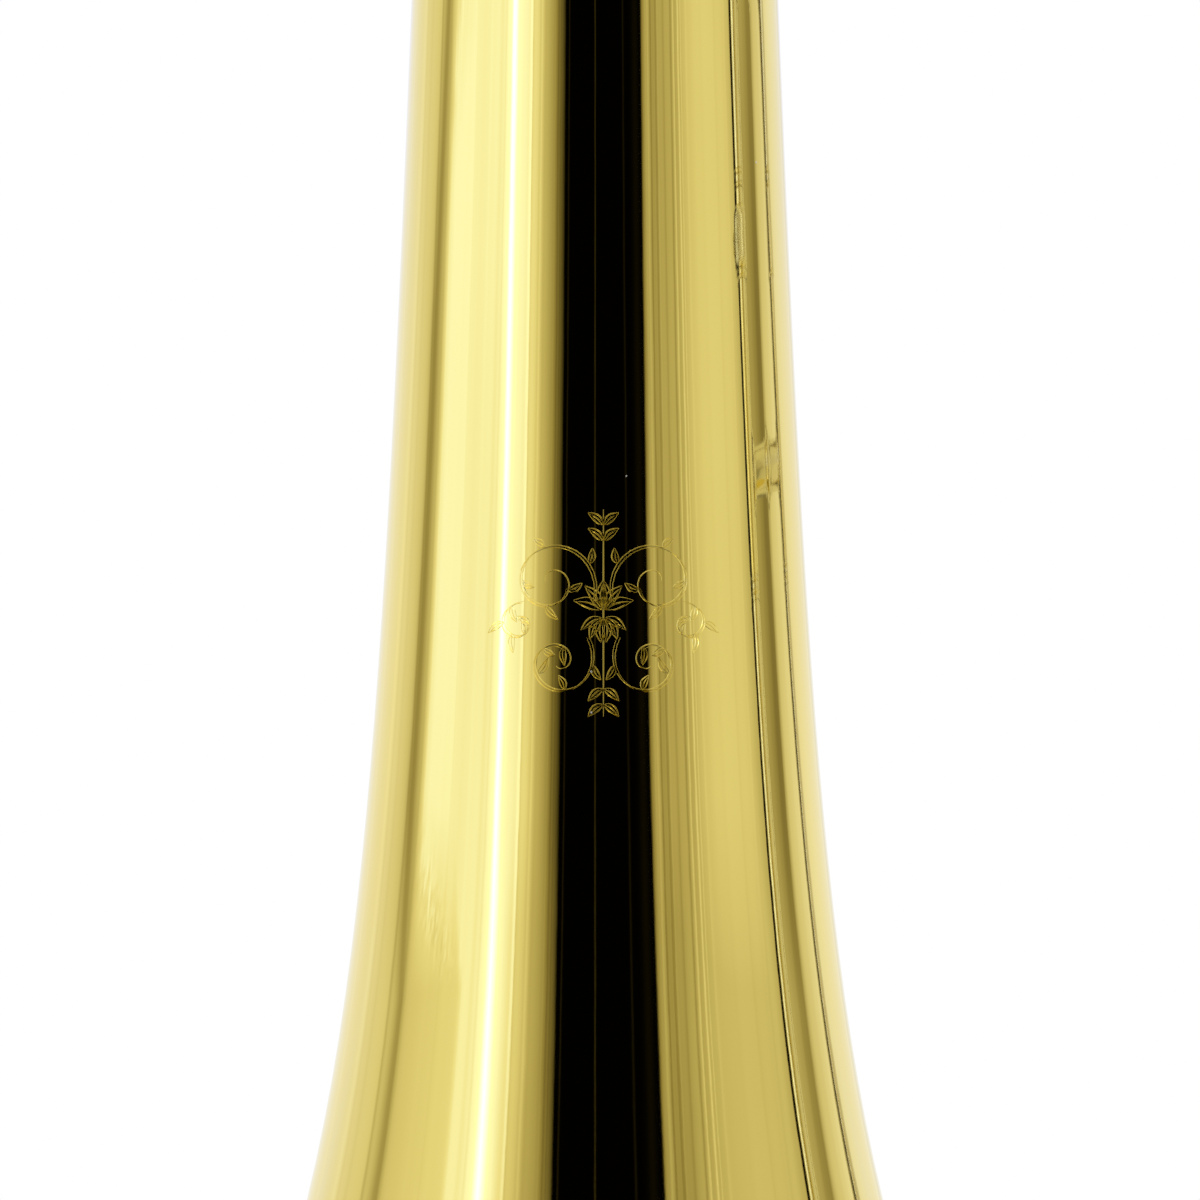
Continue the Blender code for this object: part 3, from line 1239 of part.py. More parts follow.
def main():
    clear_scene()
    brass = finish("lacquered_brass", (0.83, 0.62, 0.28), 0.12, 1.0)
    nickel = finish("nickel_silver", (0.72, 0.69, 0.62), 0.15, 1.0)
    silver = finish("silver_plate", (0.85, 0.84, 0.82), 0.1, 1.0)
    steel = finish("spring_steel", (0.5, 0.5, 0.5), 0.3, 1.0)
    rubber = finish("black_rubber", (0.03, 0.03, 0.03), 0.7, 0.0)
    make_bell(brass)
    make_tuning_receivers(nickel)
    make_main_tuning_slide(brass, nickel)
    make_line_tubes(brass)
    make_valve("f", F_VALVE_Z, F_LEVER_START, brass, nickel)
    make_valve("gb", GB_VALVE_Z, GB_LEVER_START, brass, nickel)
    f_pad = F_LINK_START + LINK_THICK - F_PAD_WIDTH
    make_lever("f", F_VALVE_Z, F_LEVER_START, f_pad, F_PAD_WIDTH, nickel)
    make_lever("gb", GB_VALVE_Z, GB_LEVER_START, GB_LEVER_START, GB_PAD_WIDTH, nickel)
    make_lever_axle(nickel, steel)
    f_low = port(F_VALVE_Z, LOWER_LEFT, KNUCKLE_END + GAP + LOOP_LEAD).z
    make_loop("f", F_VALVE_Z, -1, f_low, F_RECEIVER_TOP, F_BOW_RISE, F_BRACE_DROP, brass, nickel)
    make_loop("gb", GB_VALVE_Z, 1, GB_RUN_Z, GB_RECEIVER_TOP, GB_BOW_RISE, GB_BRACE_DROP, brass, nickel)
    make_slide_receiver(nickel)
    make_bell_braces(nickel)
    make_inner_slide(brass, nickel)
    make_outer_slide(brass, nickel, rubber, steel)
    make_water_key(nickel)
    make_mouthpiece(silver)


main()
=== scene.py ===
"""The looks of a bass trombone: polished brass, nickel silver and silver plate in a plain white studio."""

import json
import math
import random

import bmesh
import bpy
from mathutils import Matrix, Vector


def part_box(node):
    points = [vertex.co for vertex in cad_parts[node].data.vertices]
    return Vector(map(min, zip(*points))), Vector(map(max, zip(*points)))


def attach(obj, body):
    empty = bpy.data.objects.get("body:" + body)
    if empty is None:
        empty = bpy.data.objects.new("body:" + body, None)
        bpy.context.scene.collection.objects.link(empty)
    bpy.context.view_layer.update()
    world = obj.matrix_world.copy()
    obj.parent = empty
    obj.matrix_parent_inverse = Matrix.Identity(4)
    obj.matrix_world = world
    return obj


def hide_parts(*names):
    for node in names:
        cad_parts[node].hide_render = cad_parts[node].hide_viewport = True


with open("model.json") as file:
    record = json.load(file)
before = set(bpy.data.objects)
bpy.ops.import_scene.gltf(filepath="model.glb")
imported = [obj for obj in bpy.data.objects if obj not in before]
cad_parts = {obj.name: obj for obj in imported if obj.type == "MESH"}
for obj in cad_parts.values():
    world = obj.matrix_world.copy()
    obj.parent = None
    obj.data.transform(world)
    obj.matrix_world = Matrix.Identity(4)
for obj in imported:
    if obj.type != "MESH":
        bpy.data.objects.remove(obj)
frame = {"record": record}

MM = 0.001
X = Vector((1, 0, 0))
Y = Vector((0, 1, 0))
Z = Vector((0, 0, 1))
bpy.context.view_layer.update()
BODY_OF = {node: body for body, nodes in frame["record"]["behaviour"]["bodies"].items() for node in nodes}

# The photograph's frame: the bell's throat, seen square to the bell section
VIEW_WIDTH = 141.6 * MM
VIEW_CENTRE = Vector((0.6 * MM, 0, 160.1 * MM))
CAMERA_DISTANCE = 1.4
SENSOR = 36.0

# Fits and walls, as in the solids
GAP = 0.3 * MM
SLIP = 0.35 * MM
SLEEVE_WALL = 0.7 * MM
BEAD = 0.9 * MM
TUBE_RADIUS = 8.0 * MM
TUBE_BORE = 7.4 * MM

# Bell, as in the solids
BELL_RADIUS = 120.65 * MM
BELL_LENGTH = 486 * MM
BELL_TAIL_RADIUS = 12.5 * MM
BELL_TAPER = 0.0353
FLARE_LENGTH = 35.78 * MM
FLARE = BELL_RADIUS - BELL_TAIL_RADIUS - BELL_TAPER * BELL_LENGTH
BELL_WALL = 0.5 * MM
RIM_HEIGHT = 3.4 * MM
RIM_DEPTH = 3.2 * MM

# Main tuning slide
BELL_LEG_RADIUS = 12.0 * MM
NECK_LEG_RADIUS = 9.55 * MM
LEG_WALL = 0.6 * MM
BOW_SEAT = 8 * MM

# Valves, as in the solids
ROTOR_TURN = math.pi / 2
ROTOR_FRONT = -10.1 * MM
ROTOR_BACK = 10.0 * MM
CASING_RADIUS = 21 * MM
CASING_WALL = 1.8 * MM
CASING_HALF = 13 * MM
CASING_END = 2.5 * MM
BEARING_HUB = 15.5 * MM
BEARING_HUB_RADIUS = 6.5 * MM
SPINDLE_RADIUS = 3.4 * MM
KNUCKLE_ROOT = 14 * MM
KNUCKLE_END = 24 * MM
KNUCKLE_RADIUS = 8.6 * MM
PASSAGE_RADIUS = 7.1 * MM
SCREW_RADIUS = 4.6 * MM
BUMPER_PLATE = 0.8 * MM
VALVE_BEND = 20 * MM
UPPER_RIGHT = math.pi / 4
UPPER_LEFT = 3 * math.pi / 4
LOWER_LEFT = -3 * math.pi / 4
LOWER_RIGHT = -math.pi / 4

# Linkage and springs, as in the solids
RUNNING = 0.6 * MM
STOP_ARM = 12 * MM
STUD_RADIUS = 2 * MM
LEVER_TILT = math.radians(11)
LEVER_ARM = STOP_ARM * math.sin(ROTOR_TURN / 2) / math.sin(LEVER_TILT)
LEVER_THICK = 4.2 * MM
LEVER_INSET = 0.1 * MM
LEVER_HUB_RADIUS = 5 * MM
AXLE_RADIUS = 2.5 * MM
PAD_START = 51 * MM
PAD_LENGTH = 25 * MM
PAD_THICK = 2.4 * MM
PAD_RISE = 1.9 * MM
F_PAD_WIDTH = 12 * MM
LINK_ROD_RADIUS = 1.3 * MM
LINK_PIN_RADIUS = 1.2 * MM
LINK_NUT_RADIUS = 2.2 * MM
SPRING_WIRE = 0.55 * MM
SPRING_COIL = 3.9 * MM
SPRING_CURLS = 4
SPRING_PITCH = 1.75 * MM
KEY_SPRING_WIRE = 0.25 * MM
KEY_SPRING_CURLS = 3
KEY_SPRING_PITCH = 0.95 * MM

# Valve loops and braces, as in the solids
LOOP_BEND = 14 * MM
LOOP_LEAD = 15 * MM
GB_RUN_Z = 332 * MM
SLIDE_COLLAR = 20 * MM
SLIDE_BEAD = 0.7 * MM
BRACE_RADIUS = 3.2 * MM
BRACE_FLANGE_RADIUS = 5.6 * MM
BRACE_FLANGE = 2.2 * MM
BRACE_KNOB = 5 * MM
SLIDE_KNOB = 8 * MM

# Hand slide, as in the solids
SLIDE_RECEIVER_RADIUS = 11.2 * MM
TENON_RADIUS = 9.6 * MM
TENON_COLLAR = 9.4 * MM
NUT_SHOULDER = 3 * MM
INNER_BORE = 7.135 * MM
INNER_RADIUS = 7.6 * MM
STOCKING_LENGTH = 95 * MM
OUTER_RADIUS = 8.25 * MM
OUTER_BORE = 7.95 * MM
FERRULE_LENGTH = 57 * MM
BARREL_RADIUS = 10.5 * MM
LEADPIPE_RADIUS = 6.85 * MM
CROOK_RADIUS = 8.75 * MM
BUMPER_RADIUS = 6 * MM

# Water key, as in the solids
KEY_REACH = 12 * MM
KEY_PIVOT_Y = -12.6 * MM
KEY_HOLE_RADIUS = 2.0 * MM
KEY_PAD_RADIUS = 4.6 * MM
KEY_PAD_THICK = 1.8 * MM
KEY_ARM_WIDTH = 4 * MM
KEY_ARM_THICK = 1.8 * MM
KEY_ARM_SINK = 0.45 * MM
KEY_TAB_THICK = 1.4 * MM
KEY_HUB_RADIUS = 2.1 * MM
KEY_HUB_HALF = 4.6 * MM
KEY_PIN_RADIUS = 1.0 * MM
EAR_THICK = 1.2 * MM
NIPPLE_RADIUS = 3.6 * MM
NIPPLE_END = -11.2 * MM

# Mouthpiece and its receiver, as in the solids
MOUTHPIECE_RECEIVER_LENGTH = 39 * MM
MOUTHPIECE_RECEIVER_RADIUS = 9.6 * MM
RECEIVER_STOP = 3 * MM
SHANK_RADIUS = 6.45 * MM
SHANK_TAPER = 0.015
SHANK_DEPTH = 27 * MM
CUP_RADIUS = 13.8 * MM
THROAT_RADIUS = 3.6 * MM

# Places read from the frame
LEVER_X = (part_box("lever_saddle")[0].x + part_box("lever_saddle")[1].x) / 2
LOWER_BRACE_Z = (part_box("lever_saddle")[0].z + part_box("lever_saddle")[1].z) / 2

# Ornament on the bell's throat
ORNAMENT_CENTRE = Vector((1.0 * MM, 158.6 * MM))
ORNAMENT_LINE = 0.075 * MM

# Mesh detail
ROUND_SIDES = 96
PIPE_SIDES = 48
BEND_STEP = math.radians(5)

# Studio
FLOOR_Z = -1.2
FLOOR_RADIUS = 24
FLOOR_FADE = 3.2
TENT_FOOT_RADIUS = 0.9
TENT_RADIUS = 6
TENT_LOW = -1.18
TENT_FOOT = -1.0
TENT_LEAN = 0.1
TENT_WALL = 0.55
TENT_TINTED = 2.6
TENT_SHOULDER = 5.2
TENT_TOP = 8
TENT_ROOF = 0.9
TENT_STEPS = 32
TENT_SWEEP = (0.95, 1.3)
TENT_ROWS = 64
TENT_LIFT = 0.84
TENT_STRIPS = 1440
# The tent's panels: degrees round from the camera's side towards +X and brightness there, low down and higher up
TENT_PANELS = [
    (-180, 0.93, -180, 0.92), (-150, 0.94, -150, 0.92), (-135, 0.92, -135, 0.9), (-124, 0.86, -124, 0.84),
    (-116, 0.77, -115, 0.82), (-113.5, 0.72, -111, 0.8), (-111, 0.62, -107, 0.68), (-109, 0.44, -104, 0.52),
    (-107.5, 0.35, -102.5, 0.44), (-105.5, 0.37, -101, 0.46), (-103.5, 0.5, -99.5, 0.6), (-100.5, 0.73, -97.5, 0.72),
    (-98, 0.92, -95, 0.77), (-96.5, 1.06, -91, 0.8), (-93, 1.12, -86, 0.84), (-79, 1.13, -74, 0.89), (-76, 1.07, -67, 0.92), (-74, 1.06, -64.5, 1.08),
    (-56, 1.12, -56, 1.12), (-53, 1.3, -53, 1.25), (-51, 3.2, -50, 3.0), (-48, 1.3, -46.5, 1.25),
    (-45, 1.16, -43.5, 1.08), (-40, 1.07, -40, 0.93), (-36, 0.94, -36, 0.78), (-31, 0.68, -31, 0.56),
    (-26, 0.46, -26, 0.46), (-22, 0.24, -22, 0.28), (-19, 0.09, -19, 0.16), (-17.8, 0.0005, -17.8, 0.0005),
    (28.2, 0.0005, 29.2, 0.0005), (29.4, 0.3, 30.2, 0.35), (31.5, 0.56, 32, 0.48), (33, 0.5, 33.5, 0.44),
    (36, 0.43, 36, 0.38), (38, 0.48, 38, 0.39), (42, 0.54, 42, 0.44), (47, 0.55, 47, 0.54), (52, 0.55, 52, 0.53),
    (56, 0.69, 56, 0.6), (60, 0.76, 60, 0.64), (64, 0.82, 64, 0.665), (72, 0.84, 72, 0.695), (80, 0.83, 80, 0.69),
    (88, 0.8, 88, 0.685), (90.5, 0.68, 92, 0.67), (94, 0.58, 95, 0.58), (98, 0.5, 99, 0.54), (103, 0.43, 103, 0.52),
    (107, 0.34, 107, 0.47), (110, 0.24, 110, 0.36), (112.5, 0.25, 113, 0.32), (113.8, 0.52, 114.5, 0.55),
    (116.2, 0.74, 117, 0.72), (121, 0.83, 121, 0.78), (126, 0.89, 126, 0.86), (140, 0.95, 140, 0.92),
    (157, 0.94, 157, 0.9), (180, 0.93, 180, 0.92),
]
# How green and how blue the cloth is at a brightness, against its red
TENT_TINT = [
    (0.0, 0.86, 0.5), (0.3, 0.9, 0.6), (0.5, 0.95, 0.82), (0.8, 1.0, 1.08), (0.97, 1.04, 1.3), (1.12, 1.14, 2.0),
]
# Folds drawn over the panels: from and to which degrees, how many, how wide and how deep
TENT_FOLDS = [
    (-180, -115, 8, 1.5, 0.06),
    (-112, -99, 7, 0.8, 0.12),
    (-92, -79, 4, 0.6, 0.04),
    (-79, -56, 7, 1.0, 0.05),
    (-40, -19, 16, 0.6, 0.25),
    (27, 60, 30, 0.5, 0.38),
    (60, 92, 8, 1.2, 0.05),
    (92, 111, 14, 0.7, 0.07),
    (111, 140, 6, 1.0, 0.05),
    (140, 180, 5, 1.5, 0.05),
]
# Single folds: where, how wide and how deep
TENT_LINES = [
    (0.1, 0.3, 66),
    (-15.6, 0.35, 26),
    (17.2, 0.5, 18),
    (24.6, 2.2, 9),
]


class Nodes:
    """A small writer of node trees."""

    def __init__(self, tree):
        self.tree = tree

    def add(self, kind, **values):
        node = self.tree.nodes.new(kind)
        for name, value in values.items():
            setattr(node, name, value)
        return node

    def link(self, source, target):
        self.tree.links.new(source, target)

    def maths(self, operation, *values):
        node = self.add("ShaderNodeMath", operation=operation)
        for i, value in enumerate(values):
            if isinstance(value, (int, float)):
                node.inputs[i].default_value = value
            else:
                self.link(value, node.inputs[i])
        return node.outputs[0]

    def noise(self, place, scale, detail=2.0, roughness=0.5):
        node = self.add("ShaderNodeTexNoise")
        self.link(place, node.inputs["Vector"])
        node.inputs["Scale"].default_value = scale
        node.inputs["Detail"].default_value = detail
        node.inputs["Roughness"].default_value = roughness
        return node.outputs["Fac"]

    def stretched(self, scale):
        """Object coordinates, stretched by a factor along each axis."""
        place = self.add("ShaderNodeTexCoord")
        mapping = self.add("ShaderNodeMapping")
        mapping.inputs["Scale"].default_value = scale
        self.link(place.outputs["Object"], mapping.inputs["Vector"])
        return mapping.outputs["Vector"]

    def ramp(self, value, stops):
        node = self.add("ShaderNodeValToRGB")
        elements = node.color_ramp.elements
        while len(elements) < len(stops):
            elements.new(0.5)
        for element, (position, colour) in zip(elements, stops):
            element.position = position
            element.color = (*colour, 1)
        self.link(value, node.inputs["Fac"])
        return node.outputs["Color"]

    def bump(self, height, distance, strength=1.0, below=None):
        node = self.add("ShaderNodeBump")
        node.inputs["Strength"].default_value = strength
        node.inputs["Distance"].default_value = distance
        self.link(height, node.inputs["Height"])
        if below:
            self.link(below, node.inputs["Normal"])
        return node.outputs["Normal"]


def metal(name, dark, light, roughness, haze, coat=0.0, dust=0.0):
    """Polished metal: cloudy colour, buffing marks, slight waves in the surface and a few specks of dust."""
    look = bpy.data.materials.new(name)
    look.use_nodes = True
    nodes = Nodes(look.node_tree)
    shader = look.node_tree.nodes["Principled BSDF"]
    shader.inputs["Metallic"].default_value = 1
    if coat:
        shader.inputs["Coat Weight"].default_value = coat
        shader.inputs["Coat Roughness"].default_value = 0.03
    cloud = nodes.noise(nodes.stretched((24, 24, 9)), 1.0, 3.0)
    colour = nodes.ramp(cloud, [(0.3, dark), (0.7, light)])
    fine = nodes.noise(nodes.stretched((2400, 2400, 60)), 1.0, 3.0, 0.6)
    rough = nodes.maths("MULTIPLY_ADD", fine, roughness * haze, roughness * (1 - haze / 2))
    if dust:
        cells = nodes.add("ShaderNodeTexVoronoi")
        cells.inputs["Scale"].default_value = 260
        nodes.link(nodes.stretched((1, 1, 1)), cells.inputs["Vector"])
        chosen = nodes.add("ShaderNodeSeparateColor")
        nodes.link(cells.outputs["Color"], chosen.inputs[0])
        speck = nodes.maths("LESS_THAN", cells.outputs["Distance"], 0.035)
        speck = nodes.maths("MULTIPLY", speck, nodes.maths("GREATER_THAN", chosen.outputs[0], 1 - dust))
        rough = nodes.maths("MULTIPLY_ADD", speck, 0.5, rough)
        mixed = nodes.add("ShaderNodeMix", data_type="RGBA")
        nodes.link(speck, mixed.inputs[0])
        nodes.link(colour, mixed.inputs[6])
        mixed.inputs[7].default_value = (0.9, 0.88, 0.8, 1)
        colour = mixed.outputs[2]
    nodes.link(colour, shader.inputs["Base Color"])
    nodes.link(rough, shader.inputs["Roughness"])
    wave = nodes.noise(nodes.stretched((110, 110, 50)), 1.0, 2.0)
    waved = nodes.bump(wave, 0.000012)
    nodes.link(nodes.bump(fine, 0.0000006, 1.0, waved), shader.inputs["Normal"])
    return look


def grainy(name, dark, light, scale, roughness, distance):
    """A soft or matt material with a fine grain."""
    look = bpy.data.materials.new(name)
    look.use_nodes = True
    nodes = Nodes(look.node_tree)
    shader = look.node_tree.nodes["Principled BSDF"]
    grain = nodes.noise(nodes.stretched((scale, scale, scale)), 1.0, 5.0, 0.65)
    nodes.link(nodes.ramp(grain, [(0.3, dark), (0.75, light)]), shader.inputs["Base Color"])
    nodes.link(nodes.maths("MULTIPLY_ADD", grain, 0.25, roughness), shader.inputs["Roughness"])
    nodes.link(nodes.bump(grain, distance), shader.inputs["Normal"])
    return look


LOOKS = {
    "lacquered_brass": metal("lacquered_brass", (0.86, 0.69, 0.155), (0.90, 0.74, 0.18), 0.03, 0.5, 0.3, 0.12),
    "nickel_silver": metal("nickel_silver", (0.68, 0.655, 0.60), (0.76, 0.735, 0.68), 0.08, 0.7, 0.0, 0.06),
    "silver_plate": metal("silver_plate", (0.86, 0.85, 0.82), (0.92, 0.91, 0.89), 0.05, 0.6),
    "chrome": metal("chrome", (0.60, 0.61, 0.63), (0.66, 0.67, 0.69), 0.04, 0.5),
    "spring_steel": metal("spring_steel", (0.40, 0.40, 0.42), (0.52, 0.52, 0.53), 0.2, 0.6),
    "rubber": grainy("black_rubber", (0.016, 0.016, 0.016), (0.045, 0.044, 0.042), 1400, 0.42, 0.00002),
    "cork": grainy("cork", (0.30, 0.17, 0.08), (0.62, 0.43, 0.25), 1900, 0.75, 0.00006),
}


def stand(origin, axis=Z):
    """The placing that turns a shape's own Z axis along axis, at origin."""
    return Matrix.Translation(origin) @ axis.to_track_quat("Z", "Y").to_matrix().to_4x4()


def piece(name, bm, look, *nodes, beside=None, sharp=32):
    """Adds a closed mesh to the object. It stands for the nodes, or goes with the body of the node beside it."""
    bmesh.ops.recalc_face_normals(bm, faces=bm.faces)
    if bm.calc_volume(signed=True) < 0:
        bmesh.ops.reverse_faces(bm, faces=bm.faces)
    mesh = bpy.data.meshes.new(name)
    bm.to_mesh(mesh)
    bm.free()
    mesh.materials.append(LOOKS[look])
    mesh.shade_smooth()
    mesh.set_sharp_from_angle(angle=math.radians(sharp))
    thing = bpy.data.objects.new(name, mesh)
    bpy.context.scene.collection.objects.link(thing)
    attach(thing, BODY_OF[beside or nodes[0]])
    if nodes:
        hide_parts(*nodes)
    return thing


def soften(outline, size, closed=True, steps=4, least=25):
    """Rounds an outline's corners. Corners flatter than some degrees and the ends of an open one stay."""
    points = [Vector(point) for point in outline]
    count = len(points)
    rounded = []
    for i, corner in enumerate(points):
        if not closed and i in (0, count - 1):
            rounded.append(corner)
            continue
        before = points[i - 1] - corner
        after = points[(i + 1) % count] - corner
        if min(before.length, after.length) < 1e-9 or before.angle(-after) < math.radians(least):
            rounded.append(corner)
            continue
        first = corner + before.normalized() * min(size, before.length * 0.45)
        last = corner + after.normalized() * min(size, after.length * 0.45)
        for k in range(steps + 1):
            t = k / steps
            rounded.append(first * (1 - t) ** 2 + corner * 2 * t * (1 - t) + last * t * t)
    return [tuple(point) for point in rounded]


def bead(radius, height, size, steps=8):
    """The outline of a half-round ring, from below it to above it."""
    angles = [math.pi * (i / steps - 0.5) for i in range(steps + 1)]
    return [(radius + size * math.cos(angle), height + size * math.sin(angle)) for angle in angles]


def cove(start, end, steps=8):
    """A hollow quarter round from one outline point to another, leaving the first along the radius."""
    (r0, h0), (r1, h1) = start, end
    turns = [math.pi / 2 * i / steps for i in range(steps + 1)]
    return [(r1 + (r0 - r1) * (1 - math.sin(turn)), h0 + (h1 - h0) * (1 - math.cos(turn))) for turn in turns]


def lathe(outline, place=None, closed=True, sides=ROUND_SIDES, knurl=None):
    """A shape turned about Z from (radius, height) points. A closed outline runs round a tube's wall, and an
    open one from pole to pole. knurl gives a band's low and high edge, its ribs and their depth."""
    bm = bmesh.new()
    rings = []
    for radius, height in outline:
        if radius < 1e-7:
            rings.append([bm.verts.new((0, 0, height))])
            continue
        ring = []
        for i in range(sides):
            angle = 2 * math.pi * i / sides
            cut = 0
            if knurl and knurl[0] - 1e-7 <= height <= knurl[1] + 1e-7 and radius > knurl[4]:
                cut = knurl[3] * (0.5 - 0.5 * math.cos(knurl[2] * angle)) ** 2
            ring.append(bm.verts.new(((radius - cut) * math.cos(angle), (radius - cut) * math.sin(angle), height)))
        rings.append(ring)
    for low, high in zip(rings, rings[1:] + rings[:1] if closed else rings[1:]):
        for i in range(sides):
            j = (i + 1) % sides
            corners = [low[i % len(low)], low[j % len(low)], high[j % len(high)], high[i % len(high)]]
            corners = list(dict.fromkeys(corners))
            if len(corners) > 2:
                bm.faces.new(corners)
    flat = [rings[end][0] for end, near in ((0, 1), (-1, -2))
            if len(rings[end]) == 1 and abs(outline[end][1] - outline[near][1]) < 1e-7]
    bmesh.ops.dissolve_verts(bm, verts=flat)
    bm.transform(place or Matrix())
    return bm


def ring(outside, inside, place, soft=0.25 * MM, sides=ROUND_SIDES, knurl=None):
    """A turned tube from its outside and its inside, each from bottom to top."""
    return lathe(soften(list(outside) + list(inside)[::-1], soft), place, True, sides, knurl)


def route(corners, bend):
    """Points and directions along straight runs that round bends join."""
    stations = [(corners[0], (corners[1] - corners[0]).normalized())]
    for before, corner, after in zip(corners, corners[1:], corners[2:]):
        arrive = (corner - before).normalized()
        leave = (after - corner).normalized()
        turn = arrive.angle(leave)
        if turn < 1e-4:
            stations.append((corner, arrive))
            continue
        start = corner - arrive * bend * math.tan(turn / 2)
        centre = start + (leave - arrive * arrive.dot(leave)).normalized() * bend
        steps = math.ceil(turn / BEND_STEP - 1e-6)
        for i in range(steps + 1):
            rotation = Matrix.Rotation(turn * i / steps, 3, arrive.cross(leave))
            stations.append((centre + rotation @ (start - centre), rotation @ arrive))
    stations.append((corners[-1], (corners[-1] - corners[-2]).normalized()))
    kept = [stations[0]]
    for station in stations[1:]:
        if (station[0] - kept[-1][0]).length > 1e-6:
            kept.append(station)
    return kept


def sweep(stations, radius, bore=None, sides=PIPE_SIDES):
    """A round pipe along a route, or a rod where it has no bore. A size may be a function of the point."""

    def rings(size):
        side = X
        loops = []
        for point, ahead in stations:
            if abs(side.dot(ahead)) > 0.99:
                side = Y
            side = (side - ahead * side.dot(ahead)).normalized()
            across = ahead.cross(side)
            reach = size(point) if callable(size) else size
            spokes = [side * math.cos(2 * math.pi * i / sides) + across * math.sin(2 * math.pi * i / sides)
                      for i in range(sides)]
            loops.append([bm.verts.new(point + reach * spoke) for spoke in spokes])
        return loops

    bm = bmesh.new()
    loops = rings(radius)
    if bore:
        loops += rings(bore)[::-1]
        after = loops[1:] + loops[:1]
    else:
        bm.faces.new(loops[0])
        bm.faces.new(loops[-1])
        after = loops[1:]
    for low, high in zip(loops, after):
        for i in range(sides):
            j = (i + 1) % sides
            bm.faces.new((low[i], low[j], high[j], high[i]))
    return bm


def pipe(corners, bend, radius=TUBE_RADIUS, bore=TUBE_BORE):
    return sweep(route(corners, bend), radius, bore)


def rod(start, end, radius, soft=0.2 * MM, sides=PIPE_SIDES):
    """A straight round bar with softened ends."""
    length = (end - start).length
    outline = soften([(0, 0), (radius, 0), (radius, length), (0, length)], soft, False)
    return lathe(outline, stand(start, (end - start).normalized()), False, sides)


def loft(sections):
    """A closed shape through rings of points that have the same count."""
    bm = bmesh.new()
    loops = [[bm.verts.new(point) for point in section] for section in sections]
    for low, high in zip(loops, loops[1:]):
        for i in range(len(low)):
            j = (i + 1) % len(low)
            bm.faces.new((low[i], low[j], high[j], high[i]))
    bm.faces.new(loops[0])
    bm.faces.new(loops[-1])
    return bm


def slab(size, place, soft=0.4 * MM):
    """A bar with rounded edges about its own centre."""
    bm = bmesh.new()
    bmesh.ops.create_cube(bm, size=1, matrix=Matrix.Diagonal((*size, 1)))
    bmesh.ops.bevel(bm, geom=bm.edges[:], offset=soft, segments=3, profile=0.5, affect="EDGES")
    bm.transform(place)
    return bm


def arc(centre, radius, start, end, steps=12):
    """Points along an arc, its angles in degrees."""
    turns = [math.radians(start + (end - start) * i / steps) for i in range(steps + 1)]
    return [(centre[0] + radius * math.cos(turn), centre[1] + radius * math.sin(turn)) for turn in turns]


def lying(origin, along, up):
    """The placing that turns a shape's own X axis along a direction and its Z axis along another."""
    return Matrix.Translation(origin) @ Matrix((along, up.cross(along), up)).transposed().to_4x4()


def inset(points, size):
    """A counterclockwise outline, moved inwards."""
    moved = []
    for i, point in enumerate(points):
        before = (point - points[i - 1]).normalized()
        after = (points[(i + 1) % len(points)] - point).normalized()
        along = (before + after).normalized()
        moved.append(point + Vector((-along.y, along.x)) * size / max(along.dot(after), 0.5))
    return moved


def prism(outline, low, high, place, soft=0.3 * MM):
    """A plate with rounded edges, from its counterclockwise outline in X and Y."""
    points = [Vector(point) for point in outline]
    turns = [math.pi / 2 * i / 3 for i in range(4)]
    edge = [(soft * (1 - math.sin(turn)), soft * (1 - math.cos(turn))) for turn in turns]
    levels = [(size, low + lift) for size, lift in edge] + [(size, high - lift) for size, lift in edge[::-1]]
    bm = loft([[(*point, height) for point in inset(points, size)] for size, height in levels])
    bm.transform(place)
    return bm


def cushion(length, width, thick, place):
    """A thin paddle with round corners, a rounded edge and a gently domed top."""
    steps = 72

    def around(size, height):
        points = []
        for i in range(steps):
            turn = 2 * math.pi * i / steps
            across = [math.copysign(abs(value) ** 0.55, value) for value in (math.cos(turn), math.sin(turn))]
            points.append((across[0] * (length / 2 - size), across[1] * (width / 2 - size), height))
        return points

    half = thick / 2
    levels = [(0.34, -1), (0.12, -0.94), (0, -0.6), (0, 0.1), (0.1, 0.45), (0.34, 0.68), (0.9, 0.85), (1.9, 0.97)]
    bm = loft([around(size * half * 1.4, height * half) for size, height in levels])
    bm.transform(place)
    return bm


def merge(shapes):
    """One mesh of several closed shapes."""
    whole = bmesh.new()
    for bm in shapes:
        mesh = bpy.data.meshes.new("helper")
        bm.to_mesh(mesh)
        bm.free()
        whole.from_mesh(mesh)
        bpy.data.meshes.remove(mesh)
    return whole


def carve(base, joined=(), cut=()):
    """A closed shape with others joined to it and cut from it."""

    def helper(bm):
        bmesh.ops.recalc_face_normals(bm, faces=bm.faces)
        mesh = bpy.data.meshes.new("helper")
        bm.to_mesh(mesh)
        bm.free()
        thing = bpy.data.objects.new("helper", mesh)
        bpy.context.scene.collection.objects.link(thing)
        return thing

    body = helper(base)
    tools = []
    for operation, shapes in (("UNION", joined), ("DIFFERENCE", cut)):
        for shape in shapes:
            tools.append(helper(shape))
            modifier = body.modifiers.new("cut", "BOOLEAN")
            modifier.operation = operation
            modifier.object = tools[-1]
    bpy.context.view_layer.update()
    whole = body.evaluated_get(bpy.context.evaluated_depsgraph_get())
    bm = bmesh.new()
    bm.from_mesh(whole.to_mesh())
    whole.to_mesh_clear()
    bmesh.ops.remove_doubles(bm, verts=bm.verts, dist=1e-7)
    for thing in [body] + tools:
        bpy.data.objects.remove(thing)
    return bm


